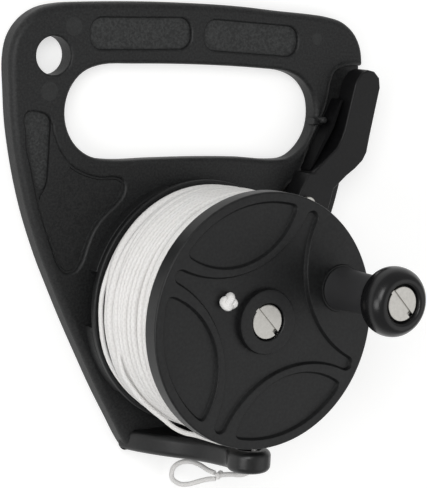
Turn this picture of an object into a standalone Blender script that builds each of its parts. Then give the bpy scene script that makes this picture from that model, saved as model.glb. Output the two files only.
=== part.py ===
"""A hand-held line reel: handle plate, drum of white line, winding knob, brake lever and line guide.

The reel lies on its back. The drum turns about +Z, which goes up through the origin, and the
origin is on the flat back of the plate. The grip is towards +Y and the lever is on the +X side.
"""
import math

import bmesh
import bpy
from mathutils import Vector

# Fits that every piece shares
GAP = 0.0003
OVERRUN = 0.0010
MERGE = 0.000001

# Facets
LARGE_SIDES = 64
MIDDLE_SIDES = 32
SMALL_SIDES = 20
SLOT_CORNER_STEPS = 4
SOFT_EDGE = math.radians(38)
BEVEL_EDGE = math.radians(55)

# Handle plate
PLATE_WIDTH = 0.1672
PLATE_HEIGHT = 0.1833
PLATE_THICKNESS = 0.0090
PLATE_ROUND = 0.0028
PLATE_BACK_ROUND = 0.0008
PLATE_RISE_SHARE = 0.659
PLATE_DROP_SHARE = 0.341
PLATE_OUTLINE_SHARES = (
    (0.035, 0.659), (-0.123, 0.658), (-0.297, 0.651), (-0.386, 0.644),
    (-0.435, 0.632), (-0.474, 0.607), (-0.500, 0.571), (-0.509, 0.526),
    (-0.505, 0.462), (-0.498, 0.394), (-0.485, 0.327), (-0.467, 0.258),
    (-0.444, 0.189), (-0.407, 0.102), (-0.371, 0.031), (-0.332, -0.042),
    (-0.290, -0.115), (-0.246, -0.190), (-0.197, -0.266), (-0.169, -0.309),
    (-0.151, -0.330), (-0.126, -0.340), (-0.060, -0.341), (0.060, -0.341),
    (0.120, -0.340), (0.145, -0.330), (0.161, -0.309), (0.189, -0.266),
    (0.238, -0.190), (0.284, -0.115), (0.326, -0.042), (0.366, 0.031),
    (0.403, 0.102), (0.437, 0.180), (0.458, 0.252), (0.473, 0.327),
    (0.486, 0.411), (0.495, 0.482), (0.498, 0.530), (0.490, 0.575),
    (0.465, 0.611), (0.427, 0.634), (0.378, 0.644), (0.326, 0.648),
    (0.225, 0.652), (0.129, 0.657),
)

# Grip opening and hanging hole
GRIP_LEFT_SHARE = 0.3624
GRIP_RIGHT_SHARE = 0.1776
GRIP_HEIGHT_SHARE = 0.2119
GRIP_CENTRE_SHARE = 0.419
GRIP_ROUND = 0.0020
GRIP_OUTLINE_SHARES = (
    (0.006, 0.499), (-0.244, 0.488), (-0.368, 0.468), (-0.438, 0.385),
    (-0.483, 0.220), (-0.500, 0.008), (-0.488, -0.194), (-0.452, -0.359),
    (-0.396, -0.465), (-0.310, -0.501), (-0.156, -0.486), (0.036, -0.473),
    (0.202, -0.478), (0.324, -0.501), (0.401, -0.478), (0.457, -0.357),
    (0.491, -0.186), (0.500, 0.008), (0.486, 0.199), (0.443, 0.359),
    (0.377, 0.450), (0.257, 0.481),
)
HANG_HOLE_RADIUS = 0.0075
HANG_HOLE_ROUND = 0.0011
HANG_HOLE_CENTRE_SHARES = (-0.399, 0.5345)

# Sunk panels in the plate's faces
SLOT_LENGTH = 0.0462
SLOT_WIDTH = 0.0123
SLOT_DEPTH = 0.0016
SLOT_CORNER = 0.0052
SLOT_DRAFT = 0.0007
SLOT_TILT = math.radians(2.0)
SLOT_CENTRE_SHARES = ((-0.167, 0.588), (0.148, 0.5875))
RECESS_DEPTH = 0.0013
RECESS_OUTLINE_SHARES = (
    (-0.462, 0.361), (-0.447, 0.297), (-0.419, 0.204), (-0.384, 0.123),
    (-0.368, 0.089), (-0.348, 0.070), (-0.325, 0.071), (-0.307, 0.088),
    (-0.294, 0.121), (-0.278, 0.158), (-0.254, 0.188), (-0.213, 0.222),
    (-0.197, 0.244), (-0.201, 0.267), (-0.224, 0.276), (-0.260, 0.275),
    (-0.300, 0.283), (-0.343, 0.303), (-0.373, 0.334), (-0.391, 0.369),
    (-0.402, 0.398), (-0.437, 0.398),
)
POCKET_DEPTH = 0.0022
POCKET_OUTLINE_SHARES = (
    (-0.468, 0.405), (-0.464, 0.378), (-0.452, 0.329), (-0.438, 0.280),
    (-0.426, 0.253), (-0.413, 0.250), (-0.404, 0.264), (-0.401, 0.307),
    (-0.400, 0.361), (-0.401, 0.399), (-0.414, 0.411), (-0.458, 0.415),
)

# Bay under the lever, sunk into the plate and open at its right edge, in shares of the lever's length
BAY_DEPTH = 0.0042
BAY_OUTLINE_SHARES = (
    (0.384, 0.964), (0.341, 0.914), (0.297, 0.703), (0.237, 0.561), (0.185, 0.457),
    (0.136, 0.325), (0.084, 0.190), (-0.020, 0.101), (-0.089, 0.016), (-0.101, -0.065),
    (-0.037, -0.147), (0.067, -0.204), (0.202, -0.207), (0.470, -0.198), (0.710, -0.163),
    (0.779, 0.356), (0.779, 0.873), (0.675, 0.989),
)

# Guard walls on the plate, round the rear flange
GUARD_INSET = 0.0005
GUARD_WALL = 0.0025
GUARD_HEIGHT = 0.0059
GUARD_SPANS_DEG = ((108, 164), (190, 226), (314, 350))

# Axle boss on the plate
AXLE_BOSS_RADIUS = 0.0140
AXLE_BOSS_HEIGHT = 0.0049
INSERT_FLOOR = 0.0022

# Axle: screw, insert, sleeve and thrust washers
AXLE_SCREW_RADIUS = 0.0040
AXLE_HEAD_RADIUS = 0.0068
AXLE_HEAD_HEIGHT = 0.0030
AXLE_TIP_CLEARANCE = 0.0015
AXLE_SLEEVE_WALL = 0.0017
AXLE_INSERT_WALL = 0.0020
REAR_WASHER_RADIUS = 0.0120
REAR_WASHER_THICKNESS = 0.0009
FRONT_WASHER_THICKNESS = 0.0010
SCREW_SLOT_WIDTH = 0.0018
SCREW_SLOT_DEPTH = 0.0013
SCREW_SLOT_TURN = math.radians(-46)

# Drum
FLANGE_RADIUS = 0.0500
REAR_FLANGE_THICKNESS = 0.0032
FRONT_FLANGE_THICKNESS = 0.0075
FLANGE_ROUND = 0.0008
FRONT_FLANGE_LIP = 0.0004
LINE_SPACE = 0.0393
HUB_RADIUS = 0.0250
HUB_WALL = 0.0030
HUB_BOSS_WALL = 0.0030
SPIGOT_DEPTH = 0.0040
FRONT_BOSS_RADIUS = 0.0128
FRONT_BOSS_RISE = 0.0010
FRONT_SHOULDER = 0.0033

# Pattern sunk into the front flange's face: four lenses and a star between them
FACE_DEPTH = 0.0018
FACE_DRAFT = 0.0004
FACE_RIM = 0.0035
LENS_COUNT = 4
LENS_TURN = math.radians(19.6)
LENS_CENTRE_SHARE = 1.142
LENS_RADIUS_SHARE = 0.652
LENS_CORNER_SHARE = 0.03
STAR_CENTRE_SHARE = 1.28
STAR_RADIUS_SHARE = 0.85
STAR_REACH_SHARE = 0.91
ARC_STEPS = 12

# Line: outer layer of turns, core, anchor knot
LINE_DIAMETER = 0.0020
LINE_LOOPS = 15
LOOP_POINTS = 24
LINE_INSET = 0.0011
LINE_EXIT_DEG = -118
ANCHOR_RADIUS = 0.0202
ANCHOR_TURN = math.radians(155)
ANCHOR_KNOT_RADIUS = 0.0032
ANCHOR_KNOT_RISE = 0.0036
ANCHOR_KNOT_SHARES = ((0.0, 1.0), (0.5, 0.93), (1.0, 0.5), (0.8, 0.0))

# Winding knob on the front flange
KNOB_INSET = 0.0135
KNOB_TURN = math.radians(18.7)
KNOB_BOSS_RADIUS = 0.0096
KNOB_BOSS_RISE = 0.0008
KNOB_RADIUS = 0.0136
KNOB_LENGTH = 0.0387
KNOB_SINK = 0.0051
KNOB_PROFILE_SHARES = (
    (0.585, 1.000), (0.690, 1.000), (0.795, 0.988), (0.888, 0.957), (0.960, 0.910), (0.997, 0.850),
    (0.992, 0.790), (0.950, 0.740), (0.868, 0.702), (0.745, 0.676), (0.640, 0.650), (0.600, 0.610),
    (0.592, 0.500), (0.598, 0.300), (0.608, 0.150), (0.625, 0.050), (0.645, 0.000),
)
KNOB_SCREW_RADIUS = 0.0025
KNOB_HEAD_RADIUS = 0.0067
KNOB_HEAD_HEIGHT = 0.0028
KNOB_SLEEVE_WALL = 0.0013
KNOB_WASHER_THICKNESS = 0.0008
KNOB_INSERT_WALL = 0.0013
KNOB_INSERT_FLOOR = 0.0015

# Thumb lever with its pivot, foot and leaf
LEVER_PIVOT_RISE = 0.0127
LEVER_PIVOT_DEG = 38.92
LEVER_LENGTH = 0.0580
LEVER_THICKNESS = 0.0101
LEVER_ROUND = 0.0005
LEVER_FOOT_SPAN_DEG = (24, 37)
LEVER_FOOT_STEPS = 5
LEVER_HEEL_RISES = (0.0037, 0.0107)
LEVER_HEEL_DEG = (22.6, 23.3)
LEVER_TOE_RISE = 0.0061
LEVER_TOE_DEG = 41.5
LEVER_OUTLINE_SHARES = (
    (0.200, -0.107), (0.212, -0.033), (0.250, 0.109), (0.357, 0.203), (0.436, 0.258),
    (0.499, 0.316), (0.531, 0.376), (0.551, 0.497), (0.596, 0.733), (0.619, 0.850),
    (0.607, 0.922), (0.558, 0.968), (0.498, 0.979), (0.443, 0.955), (0.403, 0.903),
    (0.386, 0.862), (0.317, 0.545), (0.293, 0.479), (0.257, 0.410), (0.083, 0.252),
    (0.062, 0.228), (0.016, 0.224), (-0.062, 0.072),
)
LEAF_SINK = 0.0030
LEAF_OUTLINE_SHARES = (
    (0.060, 0.243), (0.098, 0.278), (0.255, 0.550), (0.322, 0.745), (0.314, 0.759),
    (0.303, 0.750), (0.219, 0.559),
)
LEVER_SCREW_RADIUS = 0.0020
LEVER_HEAD_RADIUS = 0.0035
LEVER_HEAD_HEIGHT = 0.0022
LEVER_INSERT_WALL = 0.0012
LEVER_BOSS_WALL = 0.0030
POST_RADIUS = 0.0014
POST_RISE = 0.0046
POST_PLACE_SHARE = 0.15

# Line guide: a tongue from the plate's lower edge with an eyelet in its end
TONGUE_THICKNESS = 0.0078
TONGUE_ROUND = 0.0018
TONGUE_CLEARANCE = 0.0044
TONGUE_MARGIN = 0.0008
EYELET_REACH = 0.0524
EYELET_SIDE = 0.0035
EYELET_OUTER_RADIUS = 0.0090
EYELET_HOLE_RADIUS = 0.0043
EYELET_START_DEG = -35
EYELET_STEPS = 12
TONGUE_LEFT_SHARES = (
    (3.28, 0.040), (3.10, 0.165), (2.72, 0.300), (2.20, 0.440), (1.68, 0.560), (1.25, 0.680), (0.98, 0.790),
)
TONGUE_RIGHT_SHARES = (
    (2.45, 0.040), (2.35, 0.165), (2.12, 0.300), (1.82, 0.440), (1.50, 0.560), (1.20, 0.680), (0.98, 0.790),
)

# Free end of the line, from the drum through the eyelet to the knot and the loop in its end
LEAD_ROUTE_SHARES = (
    (-0.572, -0.832, 0.670), (-0.498, -0.900, 0.725), (-0.438, -0.930, 0.777), (-0.384, -0.938, 0.829),
    (-0.326, -0.952, 0.898), (-0.244, -0.976, 0.948), (-0.120, -1.000, 0.969), (0.000, -1.014, 0.967),
    (0.076, -1.046, 0.950), (0.106, -1.092, 0.933), (0.118, -1.150, 0.922), (0.114, -1.212, 0.914),
    (0.104, -1.264, 0.886), (0.092, -1.298, 0.838), (0.086, -1.322, 0.774), (0.096, -1.338, 0.708),
    (0.106, -1.358, 0.639), (0.114, -1.378, 0.579), (0.118, -1.392, 0.539),
)
LEAD_POINTS = 46
LEAD_ARC_DEG = (-152, -145, -138, -131)
LEAD_ARC_HEIGHT_SHARES = (0.578, 0.592, 0.608, 0.628)
END_KNOT_SHARES = (0.118, -1.404, 0.499)
END_KNOT_RADIUS = 0.0021
END_LOOP_ROUTE_SHARES = (
    (0.106, -1.398, 0.456), (0.084, -1.388, 0.397), (0.056, -1.362, 0.314), (0.028, -1.358, 0.231),
    (-0.004, -1.388, 0.143), (-0.026, -1.456, 0.079), (-0.028, -1.536, 0.078), (-0.006, -1.566, 0.149),
    (0.022, -1.548, 0.233), (0.052, -1.506, 0.316), (0.084, -1.466, 0.397), (0.108, -1.446, 0.458),
)
END_LOOP_POINTS = 26

# Heights and radii that follow from the sizes above
PLATE_MIDDLE = PLATE_THICKNESS / 2
PLATE_DROP = FLANGE_RADIUS + TONGUE_CLEARANCE + TONGUE_THICKNESS + TONGUE_MARGIN
PLATE_LOWER = PLATE_DROP / PLATE_DROP_SHARE
PLATE_UPPER = (PLATE_HEIGHT - PLATE_DROP) / PLATE_RISE_SHARE
TONGUE_HEIGHT = -FLANGE_RADIUS - TONGUE_CLEARANCE - TONGUE_THICKNESS / 2
AXLE_BOSS_TOP = PLATE_THICKNESS + AXLE_BOSS_HEIGHT
REAR_WASHER_BASE = AXLE_BOSS_TOP + GAP
DRUM_BASE = REAR_WASHER_BASE + REAR_WASHER_THICKNESS + GAP
LINE_BASE = DRUM_BASE + REAR_FLANGE_THICKNESS
FRONT_BASE = LINE_BASE + LINE_SPACE
FRONT_TOP = FRONT_BASE + FRONT_FLANGE_THICKNESS
SLEEVE_INNER_RADIUS = AXLE_SCREW_RADIUS + GAP
SLEEVE_OUTER_RADIUS = SLEEVE_INNER_RADIUS + AXLE_SLEEVE_WALL
DRUM_BORE_RADIUS = SLEEVE_OUTER_RADIUS + GAP
SHOULDER_TOP = FRONT_BASE + FRONT_SHOULDER
FRONT_WASHER_BASE = SHOULDER_TOP + GAP
AXLE_HEAD_BASE = FRONT_WASHER_BASE + FRONT_WASHER_THICKNESS + GAP
AXLE_INSERT_RADIUS = SLEEVE_INNER_RADIUS + AXLE_INSERT_WALL
HUB_INNER_RADIUS = HUB_RADIUS - HUB_WALL
WIND_RADIUS = FLANGE_RADIUS - LINE_INSET - LINE_DIAMETER / 2
LEAD_RADIUS = WIND_RADIUS + LINE_DIAMETER + GAP
CORE_RADIUS = WIND_RADIUS * math.cos(math.pi / LOOP_POINTS) - LINE_DIAMETER / 2 - GAP
STAR_FLOOR = FRONT_TOP - FACE_DEPTH
KNOB_PITCH_RADIUS = FLANGE_RADIUS - KNOB_INSET
KNOB_PLACE = (KNOB_PITCH_RADIUS * math.cos(KNOB_TURN), KNOB_PITCH_RADIUS * math.sin(KNOB_TURN))
KNOB_BASE = FRONT_TOP + KNOB_BOSS_RISE + GAP
KNOB_TOP = KNOB_BASE + KNOB_LENGTH
KNOB_SEAT = KNOB_TOP - KNOB_SINK
KNOB_WELL_RADIUS = KNOB_HEAD_RADIUS + GAP * 2
KNOB_SLEEVE_INNER = KNOB_SCREW_RADIUS + GAP
KNOB_SLEEVE_OUTER = KNOB_SLEEVE_INNER + KNOB_SLEEVE_WALL
KNOB_INSERT_RADIUS = KNOB_SLEEVE_INNER + KNOB_INSERT_WALL
LEVER_PIVOT_RADIUS = FLANGE_RADIUS + LEVER_PIVOT_RISE
LEVER_PIVOT = (LEVER_PIVOT_RADIUS * math.cos(math.radians(LEVER_PIVOT_DEG)),
               LEVER_PIVOT_RADIUS * math.sin(math.radians(LEVER_PIVOT_DEG)))
GUARD_OUTER_RADIUS = FLANGE_RADIUS - GUARD_INSET
GRIP_LEFT = -GRIP_LEFT_SHARE * PLATE_WIDTH
GRIP_RIGHT = LEVER_PIVOT[0] + GRIP_RIGHT_SHARE * LEVER_LENGTH
LEVER_BASE = PLATE_THICKNESS + GAP
LEVER_TOP = LEVER_BASE + LEVER_THICKNESS
LEVER_INSERT_RADIUS = LEVER_SCREW_RADIUS + GAP + LEVER_INSERT_WALL


def material(name, colour, roughness, metallic):
    """A plain surface with its own colour."""
    surface = bpy.data.materials.new(name)
    surface.use_nodes = True
    shader = surface.node_tree.nodes["Principled BSDF"]
    shader.inputs["Base Color"].default_value = colour
    shader.inputs["Roughness"].default_value = roughness
    shader.inputs["Metallic"].default_value = metallic
    return surface


def add_object(name, mesh, surface, parent=None):
    """Links a mesh into the scene with its material, under its joint's empty if it has one."""
    item = bpy.data.objects.new(name, mesh)
    bpy.context.collection.objects.link(item)
    mesh.shade_smooth()
    mesh.set_sharp_from_angle(angle=SOFT_EDGE)
    if surface:
        mesh.materials.append(surface)
    if parent:
        item.parent = parent
        item.matrix_parent_inverse = parent.matrix_basis.inverted()
    return item


def joint_empty(name, place, parent=None):
    """An empty on a joint's axis, which carries what turns about it."""
    empty = bpy.data.objects.new(name, None)
    bpy.context.collection.objects.link(empty)
    empty.location = place
    if parent:
        empty.parent = parent
        empty.matrix_parent_inverse = parent.matrix_basis.inverted()
    return empty


def finished_mesh(name, form):
    """Turns a bmesh with its faces pointing out into a mesh."""
    bmesh.ops.remove_doubles(form, verts=form.verts, dist=MERGE)
    bmesh.ops.recalc_face_normals(form, faces=form.faces)
    mesh = bpy.data.meshes.new(name)
    form.to_mesh(mesh)
    form.free()
    return mesh


def turned_mesh(name, profile, sides, place=(0, 0), closed=False):
    """Spins a profile of (radius, height) points about an upright line through place."""
    form = bmesh.new()
    points = [form.verts.new((radius, 0, height)) for radius, height in profile]
    edges = [form.edges.new(pair) for pair in zip(points, points[1:])]
    if closed:
        edges.append(form.edges.new((points[-1], points[0])))
    bmesh.ops.spin(form, geom=points + edges, cent=(0, 0, 0), axis=(0, 0, 1),
                   angle=math.tau, steps=sides, use_merge=True)
    bmesh.ops.translate(form, verts=form.verts, vec=(place[0], place[1], 0))
    return finished_mesh(name, form)


def tube_mesh(name, inner, outer, base, top, sides, place=(0, 0)):
    """A plain upright tube or washer."""
    profile = ((outer, top), (outer, base), (inner, base), (inner, top))
    return turned_mesh(name, profile, sides, place, closed=True)


def disc_mesh(name, radius, base, top, sides, place=(0, 0)):
    """A plain upright disc, also used as a drill."""
    profile = ((0, top), (radius, top), (radius, base), (0, base))
    return turned_mesh(name, profile, sides, place)


def scaled(shares, width, height, centre=(0, 0)):
    """The real points of an outline that is given in shares of a width and a height."""
    return [Vector((centre[0] + x * width, centre[1] + y * height)) for x, y in shares]


def between(start, end, low, high, place):
    """The point at a place between two knots of a curve."""
    return (start * (high - place) + end * (place - low)) / (high - low)


def curve_point(before, start, end, after, share):
    """A point on a smooth curve from start to end, at a share of the way."""
    knots = [0.0]
    for near, far in ((before, start), (start, end), (end, after)):
        knots.append(knots[-1] + math.sqrt((far - near).length))
    place = knots[1] + (knots[2] - knots[1]) * share
    first = between(before, start, knots[0], knots[1], place)
    second = between(start, end, knots[1], knots[2], place)
    third = between(end, after, knots[2], knots[3], place)
    low = between(first, second, knots[0], knots[2], place)
    high = between(second, third, knots[1], knots[3], place)
    return between(low, high, knots[1], knots[2], place)


def smooth_loop(points, steps):
    """Points on a closed smooth curve through the given ones."""
    count = len(points)
    loop = []
    for index in range(count):
        before, start, end, after = (points[(index + shift) % count] for shift in (-1, 0, 1, 2))
        loop += [curve_point(before, start, end, after, step / steps) for step in range(steps)]
    return loop


def smooth_route(points, count):
    """Evenly spaced points on an open smooth curve through the given ones."""
    first = points[0] * 2 - points[1]
    last = points[-1] * 2 - points[-2]
    route = [first, *points, last]
    fine = []
    for before, start, end, after in zip(route, route[1:], route[2:], route[3:]):
        fine += [curve_point(before, start, end, after, step / count) for step in range(count)]
    fine.append(points[-1])
    travelled = [0.0]
    for near, far in zip(fine, fine[1:]):
        travelled.append(travelled[-1] + (far - near).length)
    even = []
    index = 0
    for step in range(count):
        target = travelled[-1] * step / (count - 1)
        while index < len(fine) - 2 and travelled[index + 1] < target:
            index += 1
        even.append(between(fine[index], fine[index + 1], travelled[index], travelled[index + 1], target))
    return even


def inset_loop(points, distance):
    """Moves each point of a closed outline inwards by a distance."""
    count = len(points)
    area = sum(a.x * b.y - b.x * a.y for a, b in zip(points, points[1:] + points[:1]))
    side = 1 if area > 0 else -1
    moved = []
    for index, point in enumerate(points):
        ahead = (points[(index + 1) % count] - point).normalized()
        behind = (point - points[index - 1]).normalized()
        inward = Vector((-(ahead.y + behind.y), ahead.x + behind.x)) * side
        inward.normalize()
        lean = max(inward.dot(Vector((-ahead.y, ahead.x)) * side), math.cos(BEVEL_EDGE))
        moved.append(point + inward * distance / lean)
    return moved


def upright(point, height):
    """A point of an outline drawn flat on the plate."""
    return (point.x, point.y, height)


def crosswise(point, height):
    """A point of an outline drawn across the reel, square to the plate's long side."""
    return (point.x, height, point.y)


def stacked_mesh(name, outline, levels, stand=upright):
    """A solid between copies of one outline, each at its height and with its inset."""
    form = bmesh.new()
    rings = []
    for height, inset in levels:
        loop = inset_loop(outline, inset) if inset else outline
        rings.append([form.verts.new(stand(point, height)) for point in loop])
    for low, high in zip(rings, rings[1:]):
        for index in range(len(outline)):
            form.faces.new((low[index - 1], low[index], high[index], high[index - 1]))
    form.faces.new(rings[0])
    form.faces.new(rings[-1])
    return finished_mesh(name, form)


def rounded_levels(base, top, base_radius, top_radius):
    """Levels of a solid whose two outer edges are rounded."""
    base_slant = base_radius * (1 - math.cos(math.pi / 4))
    top_slant = top_radius * (1 - math.cos(math.pi / 4))
    return (
        (base, base_radius), (base + base_slant, base_slant), (base + base_radius, 0),
        (top - top_radius, 0), (top - top_slant, top_slant), (top, top_radius),
    )


def flared_levels(base, top, radius):
    """Levels of a cutter that leaves rounded edges at both faces."""
    slant = radius * (1 - math.cos(math.pi / 4))
    return (
        (base - OVERRUN, -radius), (base, -radius), (base + slant, -slant), (base + radius, 0),
        (top - radius, 0), (top - slant, -slant), (top, -radius), (top + OVERRUN, -radius),
    )


def on_ring(radius, angle_deg):
    """The flat point at a radius from the drum's axis and an angle."""
    return Vector((radius * math.cos(math.radians(angle_deg)), radius * math.sin(math.radians(angle_deg))))


def ring_sector(inner, outer, start_deg, end_deg, steps):
    """The outline of a part of a flat ring."""
    angles = [start_deg + (end_deg - start_deg) * step / steps for step in range(steps + 1)]
    return [on_ring(outer, angle) for angle in angles] + [on_ring(inner, angle) for angle in reversed(angles)]


def combine(target, mesh, operation):
    """Adds a shape to an object, or cuts it away, with a hidden helper."""
    helper = add_object(mesh.name, mesh, None, target.parent)
    helper.hide_render = True
    helper.display_type = "WIRE"
    step = target.modifiers.new(mesh.name, "BOOLEAN")
    step.object = helper
    step.operation = operation
    step.solver = "EXACT"


def cord_object(name, points, thickness, resolution, surface, parent=None):
    """A tube along the points, closed at both ends."""
    curve = bpy.data.curves.new(name, "CURVE")
    curve.dimensions = "3D"
    curve.bevel_depth = thickness / 2
    curve.bevel_resolution = resolution
    curve.use_fill_caps = True
    spline = curve.splines.new("POLY")
    spline.points.add(len(points) - 1)
    for target, point in zip(spline.points, points):
        target.co = (*point, 1)
    curve.materials.append(surface)
    item = bpy.data.objects.new(name, curve)
    bpy.context.collection.objects.link(item)
    if parent:
        item.parent = parent
        item.matrix_parent_inverse = parent.matrix_basis.inverted()
    return item


def rounded_slot(width, height, corner, tilt, centre):
    """The outline of a slot with rounded corners, turned a little."""
    outline = []
    for quarter, (side, end) in enumerate(((1, 1), (-1, 1), (-1, -1), (1, -1))):
        middle = Vector((side * (width / 2 - corner), end * (height / 2 - corner)))
        for step in range(SLOT_CORNER_STEPS + 1):
            angle = (quarter + step / SLOT_CORNER_STEPS) * math.pi / 2
            outline.append(middle + Vector((math.cos(angle), math.sin(angle))) * corner)
    return [Vector(centre) + turned_by(point, tilt) for point in outline]


def turned_by(point, angle):
    """A flat point turned about the origin."""
    return Vector((point.x * math.cos(angle) - point.y * math.sin(angle),
                   point.x * math.sin(angle) + point.y * math.cos(angle)))


def frame():
    """The handle plate, one moulding with its guard walls, bosses, post and line guide."""
    shares = [Vector((x * PLATE_WIDTH, y * (PLATE_UPPER if y > 0 else PLATE_LOWER)))
              for x, y in PLATE_OUTLINE_SHARES]
    outline = smooth_loop(shares, 2)
    levels = rounded_levels(0, PLATE_THICKNESS, PLATE_BACK_ROUND, PLATE_ROUND)
    body = add_object("frame", stacked_mesh("frame", outline, levels), nylon)
    for number, (start, end) in enumerate(GUARD_SPANS_DEG):
        steps = round((end - start) / 6)
        wall = ring_sector(GUARD_OUTER_RADIUS - GUARD_WALL, GUARD_OUTER_RADIUS, start, end, steps)
        levels = ((PLATE_MIDDLE, 0), (PLATE_THICKNESS + GUARD_HEIGHT, 0))
        combine(body, stacked_mesh(f"guard_form_{number}", wall, levels), "UNION")
    combine(body, tongue_mesh(), "UNION")
    combine(body, disc_mesh("axle_boss_form", AXLE_BOSS_RADIUS, PLATE_MIDDLE, AXLE_BOSS_TOP, MIDDLE_SIDES), "UNION")
    cut_openings(body)
    cut_panels(body)
    cut_bay(body)
    bore = disc_mesh("axle_bore", AXLE_INSERT_RADIUS + GAP, INSERT_FLOOR, AXLE_BOSS_TOP + OVERRUN, MIDDLE_SIDES)
    combine(body, bore, "DIFFERENCE")
    return body


def cut_openings(body):
    """The grip opening and the hanging hole, both with rounded edges."""
    centre = ((GRIP_LEFT + GRIP_RIGHT) / 2, GRIP_CENTRE_SHARE * PLATE_UPPER)
    shares = scaled(GRIP_OUTLINE_SHARES, GRIP_RIGHT - GRIP_LEFT, GRIP_HEIGHT_SHARE * PLATE_UPPER, centre)
    opening = smooth_loop(shares, 2)
    levels = flared_levels(0, PLATE_THICKNESS, GRIP_ROUND)
    combine(body, stacked_mesh("grip_cutter", opening, levels), "DIFFERENCE")
    place = (HANG_HOLE_CENTRE_SHARES[0] * PLATE_WIDTH, HANG_HOLE_CENTRE_SHARES[1] * PLATE_UPPER)
    rim = [Vector(place) + on_ring(HANG_HOLE_RADIUS, 360 * step / MIDDLE_SIDES) for step in range(MIDDLE_SIDES)]
    levels = flared_levels(0, PLATE_THICKNESS, HANG_HOLE_ROUND)
    combine(body, stacked_mesh("hanging_cutter", rim, levels), "DIFFERENCE")


def cut_panels(body):
    """The sunk panels: two slots in the grip on both faces, and the corner panels on the front."""
    for number, (x_share, y_share) in enumerate(SLOT_CENTRE_SHARES):
        centre = (x_share * PLATE_WIDTH, y_share * PLATE_UPPER)
        tilt = SLOT_TILT if x_share < 0 else -SLOT_TILT
        slot = rounded_slot(SLOT_LENGTH, SLOT_WIDTH, SLOT_CORNER, tilt, centre)
        front = ((PLATE_THICKNESS - SLOT_DEPTH, SLOT_DRAFT), (PLATE_THICKNESS, 0), (PLATE_THICKNESS + OVERRUN, 0))
        back = ((-OVERRUN, 0), (0, 0), (SLOT_DEPTH, SLOT_DRAFT))
        combine(body, stacked_mesh(f"front_slot_cutter_{number}", slot, front), "DIFFERENCE")
        combine(body, stacked_mesh(f"back_slot_cutter_{number}", slot, back), "DIFFERENCE")
    for name, shares, depth in (("recess_cutter", RECESS_OUTLINE_SHARES, RECESS_DEPTH),
                                ("pocket_cutter", POCKET_OUTLINE_SHARES, POCKET_DEPTH)):
        panel = smooth_loop(scaled(shares, PLATE_WIDTH, PLATE_UPPER), 2)
        levels = ((PLATE_THICKNESS - depth, SLOT_DRAFT), (PLATE_THICKNESS, 0), (PLATE_THICKNESS + OVERRUN, 0))
        combine(body, stacked_mesh(name, panel, levels), "DIFFERENCE")


def cut_bay(body):
    """The sunk bay under the lever, with the boss that carries its pivot and the post its leaf bears on."""
    bay = smooth_loop(scaled(BAY_OUTLINE_SHARES, LEVER_LENGTH, LEVER_LENGTH, LEVER_PIVOT), 2)
    floor = PLATE_THICKNESS - BAY_DEPTH
    levels = ((floor, SLOT_DRAFT), (PLATE_THICKNESS, 0), (PLATE_THICKNESS + OVERRUN, 0))
    combine(body, stacked_mesh("bay_cutter", bay, levels), "DIFFERENCE")
    boss_radius = LEVER_INSERT_RADIUS + LEVER_BOSS_WALL
    boss = disc_mesh("lever_boss_form", boss_radius, floor / 2, PLATE_THICKNESS, MIDDLE_SIDES, LEVER_PIVOT)
    combine(body, boss, "UNION")
    bore = disc_mesh("lever_bore", LEVER_INSERT_RADIUS + GAP, INSERT_FLOOR, PLATE_THICKNESS + OVERRUN,
                     SMALL_SIDES, LEVER_PIVOT)
    combine(body, bore, "DIFFERENCE")
    post = disc_mesh("post_form", POST_RADIUS, floor / 2, PLATE_THICKNESS + POST_RISE, SMALL_SIDES, post_place())
    combine(body, post, "UNION")


def post_place():
    """Where the post stands, just clear of the leaf's outer side."""
    leaf = scaled(LEAF_OUTLINE_SHARES, LEVER_LENGTH, LEVER_LENGTH, LEVER_PIVOT)
    low, high = leaf[-1], leaf[-2]
    along = (high - low).normalized()
    away = Vector((-along.y, along.x))
    return low.lerp(high, POST_PLACE_SHARE) + away * (POST_RADIUS + GAP)


def tongue_mesh():
    """The tongue of the line guide, seen from below: broad at the plate, narrow at its ring."""
    left = [Vector((EYELET_SIDE - x * EYELET_OUTER_RADIUS, y * EYELET_REACH)) for x, y in TONGUE_LEFT_SHARES]
    right = [Vector((EYELET_SIDE + x * EYELET_OUTER_RADIUS, y * EYELET_REACH)) for x, y in TONGUE_RIGHT_SHARES]
    ring = []
    sweep = math.pi - 2 * math.radians(EYELET_START_DEG)
    for step in range(EYELET_STEPS + 1):
        angle = math.pi - math.radians(EYELET_START_DEG) - sweep * step / EYELET_STEPS
        ring.append(Vector((EYELET_SIDE + EYELET_OUTER_RADIUS * math.cos(angle),
                            EYELET_REACH + EYELET_OUTER_RADIUS * math.sin(angle))))
    outline = left + ring + right[::-1]
    half = TONGUE_THICKNESS / 2
    levels = rounded_levels(TONGUE_HEIGHT - half, TONGUE_HEIGHT + half, TONGUE_ROUND, TONGUE_ROUND)
    return stacked_mesh("tongue_form", outline, levels, crosswise)


def cut_eyelet(body):
    """The hole through the tongue's ring, with rounded edges."""
    circle = [Vector((EYELET_SIDE + EYELET_HOLE_RADIUS * math.cos(math.tau * step / SMALL_SIDES),
                      EYELET_REACH + EYELET_HOLE_RADIUS * math.sin(math.tau * step / SMALL_SIDES)))
              for step in range(SMALL_SIDES)]
    half = TONGUE_THICKNESS / 2
    levels = flared_levels(TONGUE_HEIGHT - half, TONGUE_HEIGHT + half, TONGUE_ROUND / 2)
    combine(body, stacked_mesh("eyelet_cutter", circle, levels, crosswise), "DIFFERENCE")


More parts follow.
